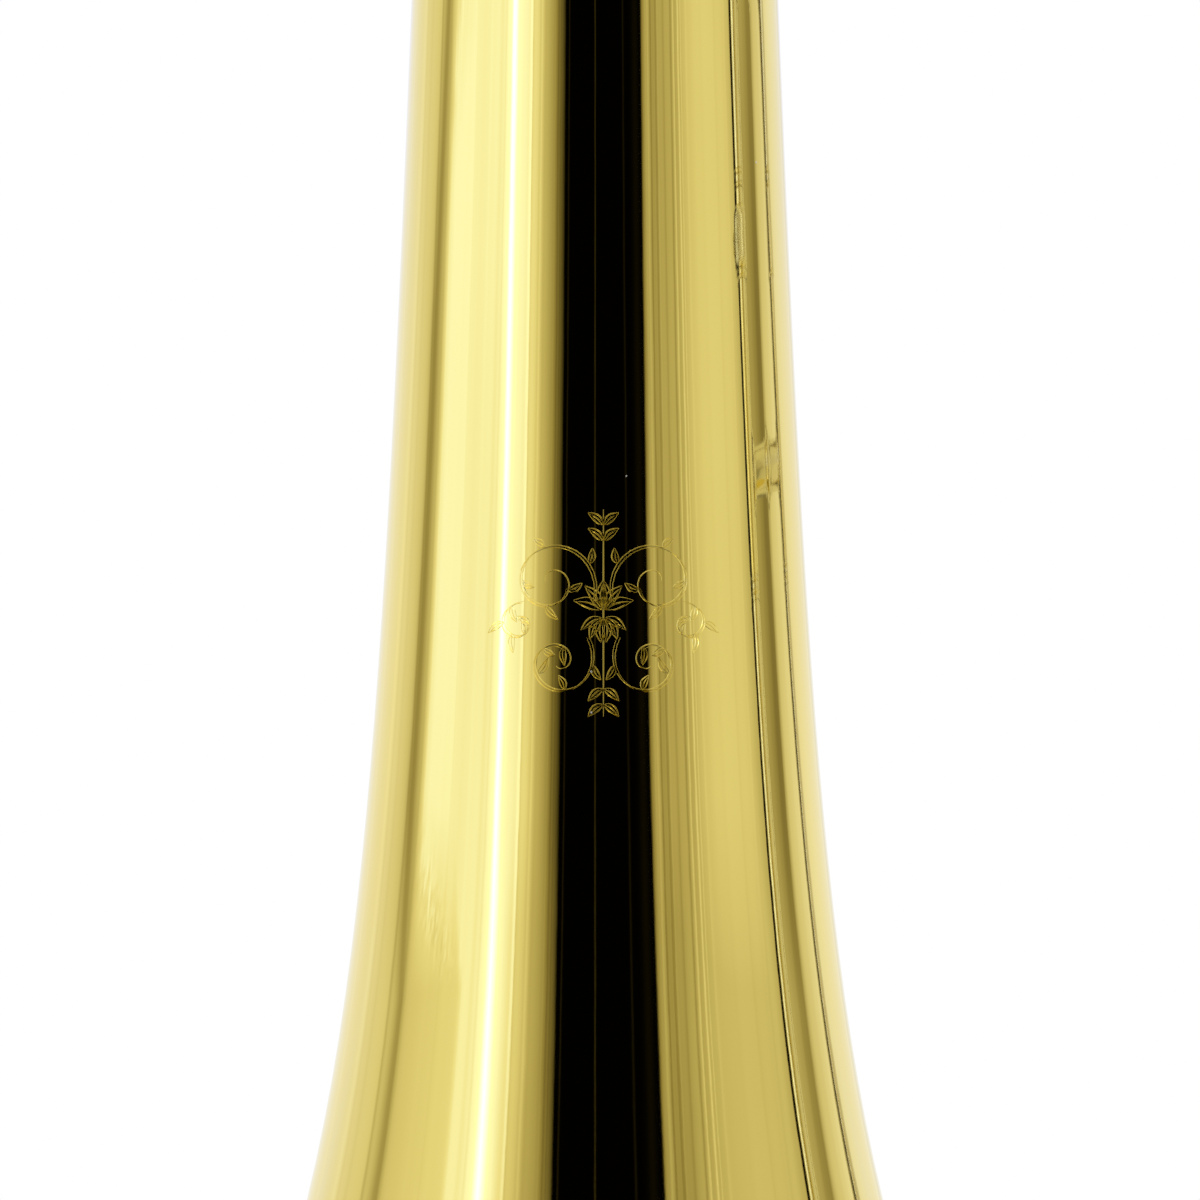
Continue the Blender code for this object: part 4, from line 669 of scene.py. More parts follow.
def slotted(outline, place, width, depth, turn=0.0):
    """A screw turned from its outline, with a slot across its head."""
    top = outline[-1][1]
    reach = 3 * max(radius for radius, _ in outline)
    slot = slab((reach, width, 2 * depth), Matrix.Translation((0, 0, top)), 0.03 * MM)
    bm = carve(lathe(soften(outline, 0.2 * MM, False), None, False, 64), (), [slot])
    bm.transform(place @ Matrix.Rotation(turn, 4, "Z"))
    return bm


def upright(node):
    """A standing node's centre line, its bottom and top, and its widest radius."""
    low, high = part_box(node)
    return Vector(((low.x + high.x) / 2, (low.y + high.y) / 2, 0)), low.z, high.z, (high.x - low.x) / 2


def bell_radius(z):
    return BELL_TAIL_RADIUS + BELL_TAPER * (BELL_LENGTH - z) + FLARE * math.exp(-z / FLARE_LENGTH)


def bell_slope(z):
    return -BELL_TAPER - FLARE / FLARE_LENGTH * math.exp(-z / FLARE_LENGTH)


def make_bell():
    """The bell's shell, with a round bead rolled over the rim wire."""
    stations = 90
    start = RIM_HEIGHT
    outside = []
    inside = []
    for k in range(stations + 1):
        z = start + (BELL_LENGTH - start) * (k / stations) ** 2.0
        square = math.hypot(1, bell_slope(z))
        outside.append((bell_radius(z), z))
        height = BELL_LENGTH if k == stations else z + BELL_WALL * bell_slope(z) / square
        inside.append((bell_radius(z) - BELL_WALL / square, height))
    half = RIM_HEIGHT / 2
    rim = [(BELL_RADIUS - RIM_DEPTH, 0.2 * MM)] + bead(BELL_RADIUS - half, half, half, 16)
    piece("bell_shell", lathe(rim + outside[1:] + inside[::-1], sides=256), "lacquered_brass", "bell")


def make_tuning_receivers():
    """The sleeves that the main tuning slide's legs run in, beaded at both ends."""
    line, low, high, lip = upright("bell_slide_receiver")
    bore = BELL_LEG_RADIUS + SLIP
    outside = bore + SLEEVE_WALL
    seat = bell_radius(low) + GAP
    stop = BELL_LENGTH + GAP
    foot = low + 2 * MM
    body = [(seat + SLEEVE_WALL, low)] + bead(seat + SLEEVE_WALL, foot, 0.6 * MM)
    body += [(BELL_TAIL_RADIUS + 2 * GAP + SLEEVE_WALL, stop), (outside, stop + 16 * MM)]
    body += bead(outside, high - 9 * MM, 0.5 * MM) + [(outside, high - 6 * MM)]
    body += [(outside + BEAD, high - 5.5 * MM), (outside + BEAD, high)]
    hollow = [(seat, low), (BELL_TAIL_RADIUS + GAP, stop), (bore, stop + BEAD), (bore, high)]
    piece("bell_slide_receiver_sleeve", ring(body, hollow, stand(line)), "nickel_silver", "bell_slide_receiver")

    line, low, high, lip = upright("neck_slide_receiver")
    bore = NECK_LEG_RADIUS + SLIP
    outside = bore + SLEEVE_WALL
    socket = TUBE_RADIUS + SLIP
    step = low + 16 * MM
    body = [(socket + SLEEVE_WALL, low)] + bead(socket + SLEEVE_WALL, low + 2 * MM, 0.5 * MM)
    body += [(socket + SLEEVE_WALL, step - 1.5 * MM), (outside, step + 2 * MM)]
    body += bead(outside, step + 4 * MM, 0.45 * MM)
    body += bead(outside, high - 9 * MM, 0.45 * MM) + [(outside, high - 6 * MM)]
    body += [(outside + BEAD, high - 5.5 * MM), (outside + BEAD, high)]
    hollow = [(socket, low), (socket, step + GAP), (bore, step + BEAD), (bore, high)]
    piece("neck_slide_receiver_sleeve", ring(body, hollow, stand(line)), "nickel_silver", "neck_slide_receiver")


def make_main_tuning_slide():
    """The two legs with their collars, and the tapered bow between them."""
    for name, radius in (("tuning_leg_bell", BELL_LEG_RADIUS), ("tuning_leg_neck", NECK_LEG_RADIUS)):
        line, low, high, outside = upright(name)
        collar = high - 22 * MM
        socket = outside - SLEEVE_WALL
        body = [(radius, low), (radius, collar), (outside - 0.5 * MM, collar + 0.4 * MM)]
        body += bead(outside - 0.2 * MM, collar + 1.6 * MM, 0.8 * MM)
        body += bead(outside - 0.1 * MM, high - 4 * MM, 0.4 * MM) + bead(outside - 0.1 * MM, high - 1.2 * MM, 0.5 * MM)
        body += [(outside - 0.5 * MM, high)]
        hollow = [(radius - LEG_WALL, low), (radius - LEG_WALL, high - BOW_SEAT - GAP)]
        hollow += [(socket, high - BOW_SEAT), (socket, high)]
        piece(name + "_tube", ring(body, hollow, stand(line)), "nickel_silver", name)
    low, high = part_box("tuning_bow")
    bell_end = BELL_LEG_RADIUS + 0.5 * MM
    neck_end = NECK_LEG_RADIUS + 0.5 * MM
    left = low.x + bell_end
    right = high.x - neck_end
    bend = (right - left) / 2
    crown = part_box("tuning_leg_bell")[1].z + bend

    def taper(point):
        return bell_end + (neck_end - bell_end) * min(max((point.x - left) / (right - left), 0), 1)

    def bore(point):
        return taper(point) - LEG_WALL

    corners = [Vector((x, 0, z)) for x, z in ((left, low.z), (left, crown), (right, crown), (right, low.z))]
    piece("tuning_bow_crook", pipe(corners, bend, taper, bore), "lacquered_brass", "tuning_bow")


def centre_of(prefix):
    low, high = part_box(prefix + "_valve_bearing_plate")
    return Vector(((low.x + high.x) / 2, 0, (low.z + high.z) / 2))


def port(prefix, angle, distance):
    """A point on the line of a valve's port. The angle is from +X towards +Z."""
    return centre_of(prefix) + distance * Vector((math.cos(angle), 0, math.sin(angle)))


def make_line_tubes():
    """The main line from the slide receiver through both valves to the tuning slide."""
    reach = KNUCKLE_END + GAP
    turn = reach + VALVE_BEND * math.tan(math.pi / 8)
    line, low, _, _ = upright("slide_receiver")
    foot = Vector((line.x, 0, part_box("gooseneck")[0].z))
    head = Vector((line.x, 0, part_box("neck_tube")[1].z))
    runs = {
        "gooseneck": [foot, port("f", LOWER_RIGHT, turn), port("f", LOWER_RIGHT, reach)],
        "valve_link_tube": [
            port("f", UPPER_RIGHT, reach),
            port("f", UPPER_RIGHT, turn),
            port("gb", LOWER_RIGHT, turn),
            port("gb", LOWER_RIGHT, reach),
        ],
        "neck_tube": [port("gb", UPPER_RIGHT, reach), port("gb", UPPER_RIGHT, turn), head],
    }
    for name, corners in runs.items():
        piece(name + "_pipe", pipe(corners, VALVE_BEND), "lacquered_brass", name)


def make_valve(prefix):
    """One rotary valve: casing with four knuckles, bearing plate, cap, rotor, stop arm and two bumpers."""
    centre = centre_of(prefix)
    back = stand(centre, Y)
    groove = CASING_RADIUS - 2.6 * MM
    angles = (UPPER_RIGHT, UPPER_LEFT, LOWER_LEFT, LOWER_RIGHT)
    body = [(0, -CASING_HALF), (CASING_RADIUS, -CASING_HALF), (CASING_RADIUS, CASING_HALF - 4 * MM)]
    body += bead(CASING_RADIUS - 0.4 * MM, CASING_HALF - 3.3 * MM, 0.5 * MM)
    body += [(CASING_RADIUS - 0.5 * MM, CASING_HALF - 2.6 * MM), (CASING_RADIUS - 0.5 * MM, CASING_HALF - 0.8 * MM)]
    body += [(CASING_RADIUS - 1.5 * MM, CASING_HALF)]
    body += [(groove + 0.3 * MM, CASING_HALF), (groove, CASING_HALF - 0.3 * MM)]
    body += [(groove - 0.4 * MM, CASING_HALF - 0.3 * MM), (groove - 0.7 * MM, CASING_HALF)]
    body += cove((BEARING_HUB_RADIUS + 1.4 * MM, CASING_HALF), (BEARING_HUB_RADIUS, CASING_HALF + 1.4 * MM))
    body += [(BEARING_HUB_RADIUS, BEARING_HUB), (0, BEARING_HUB)]
    hole = SPINDLE_RADIUS + GAP
    cavity = CASING_RADIUS - CASING_WALL
    floor = CASING_HALF - CASING_END
    hollow = [(0, -2 * CASING_HALF), (cavity, -2 * CASING_HALF), (cavity, floor), (hole, floor)]
    hollow += [(hole, 2 * CASING_HALF), (0, 2 * CASING_HALF)]
    collar = KNUCKLE_END - 3 * MM
    thin = KNUCKLE_RADIUS - 0.5 * MM
    knuckle = [(0, KNUCKLE_ROOT), (thin, KNUCKLE_ROOT), (thin, collar)] + bead(thin, collar + 0.5 * MM, 0.4 * MM)
    knuckle += [(KNUCKLE_RADIUS, collar + 1.2 * MM), (KNUCKLE_RADIUS, KNUCKLE_END), (0, KNUCKLE_END)]
    bore = [(0, KNUCKLE_ROOT), (PASSAGE_RADIUS, KNUCKLE_ROOT), (PASSAGE_RADIUS, 2 * KNUCKLE_END), (0, 2 * KNUCKLE_END)]
    joined = []
    cut = [lathe(hollow, back, False, 64)]
    for angle in angles:
        place = stand(centre, port(prefix, angle, 1) - centre)
        joined.append(lathe(soften(knuckle, 0.2 * MM, False), place, False, 64))
        cut.append(lathe(bore, place, False, 48))
    stud_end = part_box(prefix + "_stop_arm")[1].y
    post_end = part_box(prefix + "_valve_casing")[1].y
    clear = math.asin((2 * STUD_RADIUS + RUNNING) / STOP_ARM)
    seat = CASING_HALF + BUMPER_PLATE
    holes = []
    for i, angle in enumerate((UPPER_LEFT - clear, UPPER_LEFT + ROTOR_TURN + clear)):
        foot = port(prefix, angle, STOP_ARM)
        joined.append(rod(foot + Y * floor, foot + Y * post_end, STUD_RADIUS * 0.6))
        holes.append(rod(foot + Y * floor, foot + Y * post_end, STUD_RADIUS * 0.65))
        bumper = [(STUD_RADIUS - 0.2 * MM, seat + 0.1 * MM), (STUD_RADIUS, seat + 0.6 * MM)]
        bumper += [(STUD_RADIUS, post_end - 1 * MM), (STUD_RADIUS - 0.3 * MM, post_end - 0.6 * MM)]
        inside = [(STUD_RADIUS * 0.6 + 0.02 * MM, height) for _, height in (bumper[0], bumper[-1])]
        piece(f"{prefix}_stop_bumper_{i}", ring(bumper, inside, stand(foot, Y), 0.15 * MM, 32), "rubber",
              beside=prefix + "_valve_casing")
    across = port(prefix, UPPER_LEFT + ROTOR_TURN / 2, 1) - centre
    span = math.degrees(ROTOR_TURN / 2 + clear) + 13
    outline = arc((0, 0), STOP_ARM + 3 * MM, -span, span, 40) + arc((0, 0), STOP_ARM - 3 * MM, span, -span, 40)
    plate = prism(outline, CASING_HALF + 0.05 * MM, seat, lying(centre, across, Y), 0.2 * MM)
    piece(prefix + "_bumper_plate", carve(plate, (), holes), "nickel_silver", beside=prefix + "_valve_casing")
    screws = []
    for turn in (-ROTOR_TURN / 4, ROTOR_TURN / 4):
        foot = port(prefix, UPPER_LEFT + ROTOR_TURN / 2 + turn, STOP_ARM)
        head = [(0, seat + 0.02 * MM), (1.7 * MM, seat + 0.02 * MM), (1.7 * MM, seat + 0.9 * MM), (0, seat + 0.9 * MM)]
        screws.append(slotted(head, stand(foot, Y), 0.45 * MM, 0.5 * MM, 3 * turn))
    piece(prefix + "_bumper_screws", merge(screws), "spring_steel", beside=prefix + "_valve_casing")
    casing = carve(lathe(soften(body, 0.3 * MM, False), back, False), joined, cut)
    piece(prefix + "_valve_case", casing, "lacquered_brass", prefix + "_valve_casing")

    low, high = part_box(prefix + "_valve_bearing_plate")
    rim = (high.x - low.x) / 2
    plate = ring([(rim, low.y), (rim, high.y)], [(hole, low.y), (hole, high.y)], back)
    piece(prefix + "_bearing_plate", plate, "nickel_silver", prefix + "_valve_bearing_plate")

    low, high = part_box(prefix + "_valve_cap")
    edge = (high.x - low.x) / 2
    thread = CASING_RADIUS + GAP
    face = low.y
    cap = [(0, face + 0.5 * MM), (4.5 * MM, face + 0.5 * MM), (5 * MM, face), (6 * MM, face), (6.5 * MM, face + 0.6 * MM)]
    cap += [(12 * MM, face + 0.9 * MM)]
    cap += [(12.6 * MM, face + 0.3 * MM), (14.2 * MM, face + 0.3 * MM), (14.8 * MM, face + 0.9 * MM)]
    cap += [(17.6 * MM, face + 1.1 * MM), (edge - 3 * MM, face + 0.7 * MM), (edge - 1.4 * MM, face + 1.2 * MM)]
    cap += [(edge - 0.5 * MM, face + 2 * MM)]
    cap += [(edge, face + 2.5 * MM + 0.45 * MM * step) for step in range(11)]
    cap += [(edge - 0.3 * MM, high.y), (thread, high.y), (thread, face + 4 * MM), (0, face + 4 * MM)]
    knurl = (face + 2.9 * MM, high.y - 0.8 * MM, 54, 0.4 * MM, thread + 0.5 * MM)
    shape = lathe(soften(cap, 0.3 * MM, False, 3), back, False, 378, knurl)
    piece(prefix + "_valve_cap_knurled", shape, "lacquered_brass", prefix + "_valve_cap", sharp=50)

    low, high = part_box(prefix + "_rotor")
    radius = (high.x - low.x) / 2
    head = high.y - 1.4 * MM
    outline = [(0, low.y), (SPINDLE_RADIUS, low.y), (SPINDLE_RADIUS, ROTOR_FRONT), (radius, ROTOR_FRONT)]
    outline += [(radius, ROTOR_BACK), (SPINDLE_RADIUS, ROTOR_BACK), (SPINDLE_RADIUS, head), (0, head)]
    passages = [
        sweep(route([port(prefix, start, 2 * radius), centre, port(prefix, end, 2 * radius)], radius), PASSAGE_RADIUS)
        for start, end in ((LOWER_RIGHT, UPPER_RIGHT), (UPPER_LEFT, LOWER_LEFT))
    ]
    rotor = carve(lathe(soften(outline, 0.3 * MM, False), back, False, 64), (), passages)
    piece(prefix + "_rotor_body", rotor, "lacquered_brass", prefix + "_rotor")
    screw = [(0, head + 0.02 * MM), (SCREW_RADIUS, head + 0.02 * MM), (SCREW_RADIUS, high.y - 0.5 * MM)]
    screw += [(SCREW_RADIUS - 1 * MM, high.y), (0, high.y)]
    piece(prefix + "_rotor_screw", slotted(screw, back, 1.1 * MM, 1 * MM, 0.5), "spring_steel", prefix + "_rotor")

    low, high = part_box(prefix + "_stop_arm")
    hub = 6.2 * MM
    start = low.y
    end = head - 0.1 * MM
    shape = [(0, start), (hub - 0.6 * MM, start), (hub, start + 0.6 * MM), (hub, end - 1.4 * MM)]
    shape += [(hub - 0.6 * MM, end - 0.9 * MM), (SCREW_RADIUS + 0.3 * MM, end), (0, end)]
    arm = arc((0, 0), 4.2 * MM, 100, 260) + arc((STOP_ARM, 0), STUD_RADIUS, -80, 80)
    along = lying(centre, port(prefix, UPPER_LEFT, 1) - centre, Y)
    foot = port(prefix, UPPER_LEFT, STOP_ARM)
    joined = [prism(arm, start + 0.7 * MM, end - 0.9 * MM, along, 0.4 * MM)]
    joined.append(rod(foot + Y * start, foot + Y * stud_end, STUD_RADIUS, 0.4 * MM))
    cut = [lathe([(0, 0), (hole, 0), (hole, 2 * end), (0, 2 * end)], back, False, 48)]
    piece(prefix + "_stop_arm_plate", carve(lathe(soften(shape, 0.2 * MM, False), back, False, 64), joined, cut),
          "nickel_silver", prefix + "_stop_arm")


def make_lever(prefix):
    """A thumb lever with its paddle, and the link that joins it to its valve's stop arm."""
    low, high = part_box(prefix + "_lever")
    link_low, link_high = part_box(prefix + "_link")
    end = link_low.y - RUNNING
    start = end - LEVER_THICK
    pivot = Vector((LEVER_X, 0, LOWER_BRACE_Z))
    along = Vector((math.cos(LEVER_TILT), 0, math.sin(LEVER_TILT)))
    up = Vector((-along.z, 0, along.x))

    def half(x):
        return (1.9 + 0.7 * math.exp(-((x / MM - 4) / 9) ** 2)
                + 0.9 * math.exp(-((x - LEVER_ARM) / MM / 2.6) ** 4)) * MM

    places = [2 * MM + 60 * MM * i / 60 for i in range(61)]
    side = [(x, -half(x)) for x in places] + [(places[-1] + 2.5 * MM, 0)] + [(x, half(x)) for x in places[::-1]]
    bar = prism(side, start + LEVER_INSET, end - LEVER_INSET, lying(pivot, along, Y), 0.7 * MM)
    hub = [(LEVER_HUB_RADIUS - 0.5 * MM, start), (LEVER_HUB_RADIUS, start + 0.5 * MM)]
    hub += [(LEVER_HUB_RADIUS, end - 0.5 * MM), (LEVER_HUB_RADIUS - 0.5 * MM, end)]
    bore = AXLE_RADIUS + GAP
    hub = lathe(soften([(0, start)] + hub + [(0, end)], 0.2 * MM, False), stand(pivot, Y), False, 64)
    pad_middle = pivot + along * (PAD_START + PAD_LENGTH / 2) + Y * (low.y + high.y) / 2 + up * PAD_RISE
    pad_width = high.y - low.y if prefix == "gb" else F_PAD_WIDTH
    pad = cushion(PAD_LENGTH, pad_width, PAD_THICK, lying(pad_middle, along, up))
    joint = pivot + along * LEVER_ARM
    pin = rod(joint + Y * (start + end) / 2, joint + Y * (link_high.y), LINK_PIN_RADIUS)
    hole = lathe([(0, start - MM), (bore, start - MM), (bore, end + MM), (0, end + MM)], stand(pivot, Y), False, 48)
    piece(prefix + "_thumb_lever", carve(hub, [bar, pad, pin], [hole]), "nickel_silver", prefix + "_lever")

    stud = port(prefix, UPPER_LEFT, STOP_ARM)
    middle = Y * (link_low.y + link_high.y) / 2
    eye = (link_high.x - link_low.x) / 2
    edges = [(eye - 0.5 * MM, link_low.y), (eye, link_low.y + 0.6 * MM), (eye, link_high.y - 0.6 * MM)]
    edges = [(0, link_low.y)] + edges + [(eye - 0.5 * MM, link_high.y), (0, link_high.y)]
    reach = stud.z - joint.z
    stick = [(0, 0), (LINK_ROD_RADIUS, 0), (LINK_ROD_RADIUS, reach), (0, reach)]
    joined = [lathe(stick, stand(joint + middle), False, 32)]
    for place in (joint + Z * (eye + 1.6 * MM), stud - Z * (eye + 1.6 * MM)):
        nut = [(LINK_NUT_RADIUS * math.cos(math.pi * i / 3), LINK_NUT_RADIUS * math.sin(math.pi * i / 3)) for i in range(6)]
        joined.append(prism(nut, -0.9 * MM, 0.9 * MM, Matrix.Translation(place + middle), 0.25 * MM))
    joined.append(lathe(soften(edges, 0.2 * MM, False), stand(stud, Y), False, 48))
    holes = []
    for place, radius in ((joint, LINK_PIN_RADIUS + SLIP), (stud, LINK_PIN_RADIUS + SLIP)):
        long = [(0, link_low.y - MM), (radius, link_low.y - MM), (radius, link_high.y + MM), (0, link_high.y + MM)]
        holes.append(lathe(long, stand(place, Y), False, 32))
    link = carve(lathe(soften(edges, 0.2 * MM, False), stand(joint, Y), False, 48), joined, holes)
    piece(prefix + "_link_rod", link, "nickel_silver", prefix + "_link")
    plug = rod(stud + Y * (link_low.y + 0.1 * MM), stud + Y * (link_high.y - 0.2 * MM), LINK_PIN_RADIUS + SLIP * 0.8)
    slot = slab((3 * LINK_PIN_RADIUS, 0.5 * MM, 0.9 * MM), Matrix.Translation(stud + Y * (link_high.y - 0.2 * MM))
                @ Matrix.Rotation(math.pi / 2, 4, "X"), 0.05 * MM)
    piece(prefix + "_link_screw", carve(plug, (), [slot]), "spring_steel", beside=prefix + "_link")


def coil(name, origin, axis, across, radius, wire, pitch, curls, tail, node):
    """A torsion spring: one unbroken wire whose two ends leave the coil as like straight tails."""
    side = axis.cross(across)
    stations = []
    steps = 36
    for i in range(steps // 2, curls * steps + 1):
        angle = 2 * math.pi * i / steps
        point = origin + axis * pitch * i / steps + radius * (across * math.cos(angle) + side * math.sin(angle))
        ahead = radius * (side * math.cos(angle) - across * math.sin(angle)) + axis * pitch / (2 * math.pi)
        stations.append((point, ahead.normalized()))
    first, last = stations[0], stations[-1]
    stations = [(first[0] + tail, -tail.normalized())] + stations + [(last[0] + tail, tail.normalized())]
    piece(name, sweep(stations, wire, None, 12), "spring_steel", node)


def make_lever_axle():
    """The saddle on the lower brace, whose axle both levers turn on, and their springs."""
    low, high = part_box("lever_saddle")
    pivot = Vector((LEVER_X, 0, LOWER_BRACE_Z))
    place = stand(pivot, Y)
    foot = low.y
    head = high.y - BRACE_FLANGE
    post = [(0, foot), (LEVER_HUB_RADIUS, foot), (LEVER_HUB_RADIUS, foot + 1.2 * MM)]
    post += cove((LEVER_HUB_RADIUS - 0.4 * MM, foot + 1.4 * MM), (AXLE_RADIUS + 0.2 * MM, foot + 4.2 * MM))
    post += bead(AXLE_RADIUS + 0.1 * MM, foot + 4.8 * MM, 0.5 * MM) + [(AXLE_RADIUS, foot + 5.6 * MM)]
    post += [(AXLE_RADIUS, head - 0.2 * MM), (0, head - 0.2 * MM)]
    saddle = lathe(post, place, False, 64)
    wrap(saddle, pivot + Y * foot, Y, X, BRACE_RADIUS + GAP, 3 * MM)
    piece("lever_axle", saddle, "nickel_silver", "lever_saddle")
    cap = [(0, head), (LEVER_HUB_RADIUS - 0.6 * MM, head), (LEVER_HUB_RADIUS, head + 0.5 * MM)]
    cap += [(LEVER_HUB_RADIUS, high.y - 0.6 * MM), (LEVER_HUB_RADIUS - 0.9 * MM, high.y), (0, high.y)]
    piece("lever_axle_screw", slotted(cap, place, 1.1 * MM, 1.1 * MM, 0.35), "spring_steel", "lever_saddle")
    tail = -X * 2 * LEVER_HUB_RADIUS
    for node in ("f_lever_spring", "gb_lever_spring"):
        low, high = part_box(node)
        origin = Vector((LEVER_X, low.y + SPRING_WIRE, LOWER_BRACE_Z))
        coil(node + "_wire", origin, Y, -Z, SPRING_COIL, SPRING_WIRE, SPRING_PITCH, SPRING_CURLS, tail, node)


def make_loop(prefix, side, run_z=None):
    """One valve's attachment: two tubes from its left ports, two receivers, a brace and a tuning slide."""
    reach = KNUCKLE_END + GAP
    lead = reach + LOOP_LEAD
    near_line, bottom, top, lip = upright(prefix + "_receiver_near")
    far_line = upright(prefix + "_receiver_far")[0]
    near = port(prefix, UPPER_LEFT, lead)
    low = port(prefix, LOWER_LEFT, lead)
    tube_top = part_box(prefix + "_loop_upper_tube")[1].z
    offset = near_line - Vector((near_line.x, 0, 0))

    def at(line, z):
        return Vector((line.x, near_line.y, z))

    upper = [port(prefix, UPPER_LEFT, reach), near, near + offset, at(near_line, tube_top)]
    piece(prefix + "_loop_upper_pipe", pipe(upper, LOOP_BEND), "lacquered_brass", prefix + "_loop_upper_tube")
    run = [low + offset] + ([at(low, run_z)] if run_z else [])
    down = [port(prefix, LOWER_LEFT, reach), low, *run, at(far_line, run[-1].z), at(far_line, tube_top)]
    piece(prefix + "_loop_lower_pipe", pipe(down, LOOP_BEND), "lacquered_brass", prefix + "_loop_lower_tube")

    bore = TUBE_RADIUS + SLIP
    outside = bore + SLEEVE_WALL
    for name, line in (("near", near_line), ("far", far_line)):
        body = [(outside, bottom)] + bead(outside, bottom + 1.4 * MM, 0.45 * MM)
        body += bead(outside, bottom + 3.2 * MM, 0.3 * MM) + bead(outside, top - 8 * MM, 0.4 * MM)
        body += [(outside, top - 6 * MM), (outside + BEAD, top - 5.5 * MM), (outside + BEAD, top - 3.2 * MM)]
        body += [(outside + BEAD - 0.3 * MM, top - 3 * MM), (outside + BEAD - 0.3 * MM, top - 2.6 * MM)]
        body += [(outside + BEAD, top - 2.4 * MM), (outside + BEAD, top)]
        sleeve = ring(body, [(bore, bottom), (bore, top)], stand(line), 0.2 * MM)
        piece(f"{prefix}_receiver_{name}_sleeve", sleeve, "nickel_silver", f"{prefix}_receiver_{name}")
    low_box, high_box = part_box(prefix + "_loop_brace")
    height = Z * (low_box.z + high_box.z) / 2
    start = Vector((low_box.x, near_line.y, 0)) + height
    end = Vector((high_box.x, near_line.y, 0)) + height
    brace(prefix + "_loop_brace_post", start, end, (outside + GAP, outside + GAP), prefix + "_loop_brace")

    low_box, high_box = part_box(prefix + "_tuning_slide")
    collar = top + GAP
    collar_top = collar + SLIDE_COLLAR
    seat = collar_top - BOW_SEAT
    wide = TUBE_RADIUS + SLIDE_BEAD
    for name, line in (("near", near_line), ("far", far_line)):
        body = [(TUBE_RADIUS, low_box.z), (TUBE_RADIUS, collar), (wide - 0.2 * MM, collar + 0.3 * MM)]
        body += bead(wide - 0.1 * MM, collar + 1.2 * MM, 0.4 * MM) + [(wide, collar + 2.5 * MM), (wide, collar_top - 3 * MM)]
        body += bead(wide - 0.1 * MM, collar_top - 1.2 * MM, 0.4 * MM) + [(wide - 0.3 * MM, collar_top)]
        hollow = [(TUBE_BORE, low_box.z), (TUBE_BORE, seat - GAP), (TUBE_RADIUS + 0.1 * MM, seat)]
        hollow += [(TUBE_RADIUS + 0.1 * MM, collar_top)]
        leg = ring(body, hollow, stand(line), 0.2 * MM)
        piece(f"{prefix}_slide_leg_{name}", leg, "nickel_silver", prefix + "_tuning_slide")
    crown = high_box.z - TUBE_RADIUS
    corners = [at(far_line, seat + GAP), at(far_line, crown), at(near_line, crown), at(near_line, seat + GAP)]
    bow = pipe(corners, (near_line.x - far_line.x) / 2)
    piece(prefix + "_slide_bow", bow, "lacquered_brass", prefix + "_tuning_slide")


def wrap(bm, foot, axis, line, radius, depth):
    """Bends a foot's end round the tube that it stands on, which runs along line."""
    across = axis.cross(line)
    for vert in bm.verts:
        away = vert.co - foot
        share = min(1 - away.dot(axis) / depth, 1)
        if share > 0:
            reach = min(abs(away.dot(across)), 0.94 * radius)
            vert.co -= axis * share * (radius - math.sqrt(radius ** 2 - reach ** 2))


def brace(name, start, end, radii, node, knob=0.0):
    """A turned brace whose round feet wrap the two upright tubes that it stands between."""
    axis = (end - start).normalized()
    middle = (end - start).length / 2
    half = [(0, 0), (BRACE_FLANGE_RADIUS - 0.2 * MM, 0), (BRACE_FLANGE_RADIUS, 0.3 * MM), (BRACE_FLANGE_RADIUS, 1 * MM)]
    half += cove((BRACE_FLANGE_RADIUS - 0.3 * MM, 1.2 * MM), (BRACE_RADIUS, 3.8 * MM))
    half += bead(BRACE_RADIUS, 4.6 * MM, 0.4 * MM)
    if knob:
        swell = knob - 1.2 * MM
        half += bead(BRACE_RADIUS, middle - knob, 0.5 * MM)
        for i in range(13):
            turn = math.pi / 2 * i / 12
            half.append((BRACE_RADIUS + (BRACE_FLANGE_RADIUS - 0.5 * MM - BRACE_RADIUS) * math.sin(turn) ** 2,
                         middle - swell + (swell - 1.2 * MM) * i / 12))
        half += [(BRACE_FLANGE_RADIUS, middle - 0.9 * MM)]
    else:
        half += [(BRACE_RADIUS, middle - 0.1 * MM)]
    outline = half + [(radius, 2 * middle - height) for radius, height in half[::-1]]
    bm = lathe(outline, stand(start, axis), False, 64)
    wrap(bm, start, axis, Z, radii[0], 4 * MM)
    wrap(bm, end, -axis, Z, radii[1], 4 * MM)
    piece(name, bm, "nickel_silver", node)


def make_braces():
    """The braces between the bell, the neck pipe and the main tuning slide's legs, and across the hand slide."""
    for node, radii, knob in (
        ("lower_bell_brace", (bell_radius(LOWER_BRACE_Z) + GAP, SLIDE_RECEIVER_RADIUS + GAP), 0),
        ("upper_bell_brace", (BELL_LEG_RADIUS + SLIP + SLEEVE_WALL + GAP, NECK_LEG_RADIUS + SLIP + SLEEVE_WALL + GAP),
         BRACE_KNOB),
        ("tuning_slide_brace", (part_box("tuning_leg_bell")[1].x + GAP, upright("tuning_leg_neck")[3] + GAP), BRACE_KNOB),
    ):
        low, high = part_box(node)
        height = Vector((0, 0, (low.z + high.z) / 2))
        brace(node + "_post", X * low.x + height, X * high.x + height, radii, node, knob)
    for node, tube in (("inner_brace", "cork_barrel_mouth"), ("outer_brace", "end_sleeve_mouth")):
        low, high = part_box(node)
        middle = Vector(((low.x + high.x) / 2, 0, (low.z + high.z) / 2))
        radius = low.y
        brace(node + "_post", middle + Y * low.y, middle + Y * high.y, (radius, radius), node, SLIDE_KNOB)


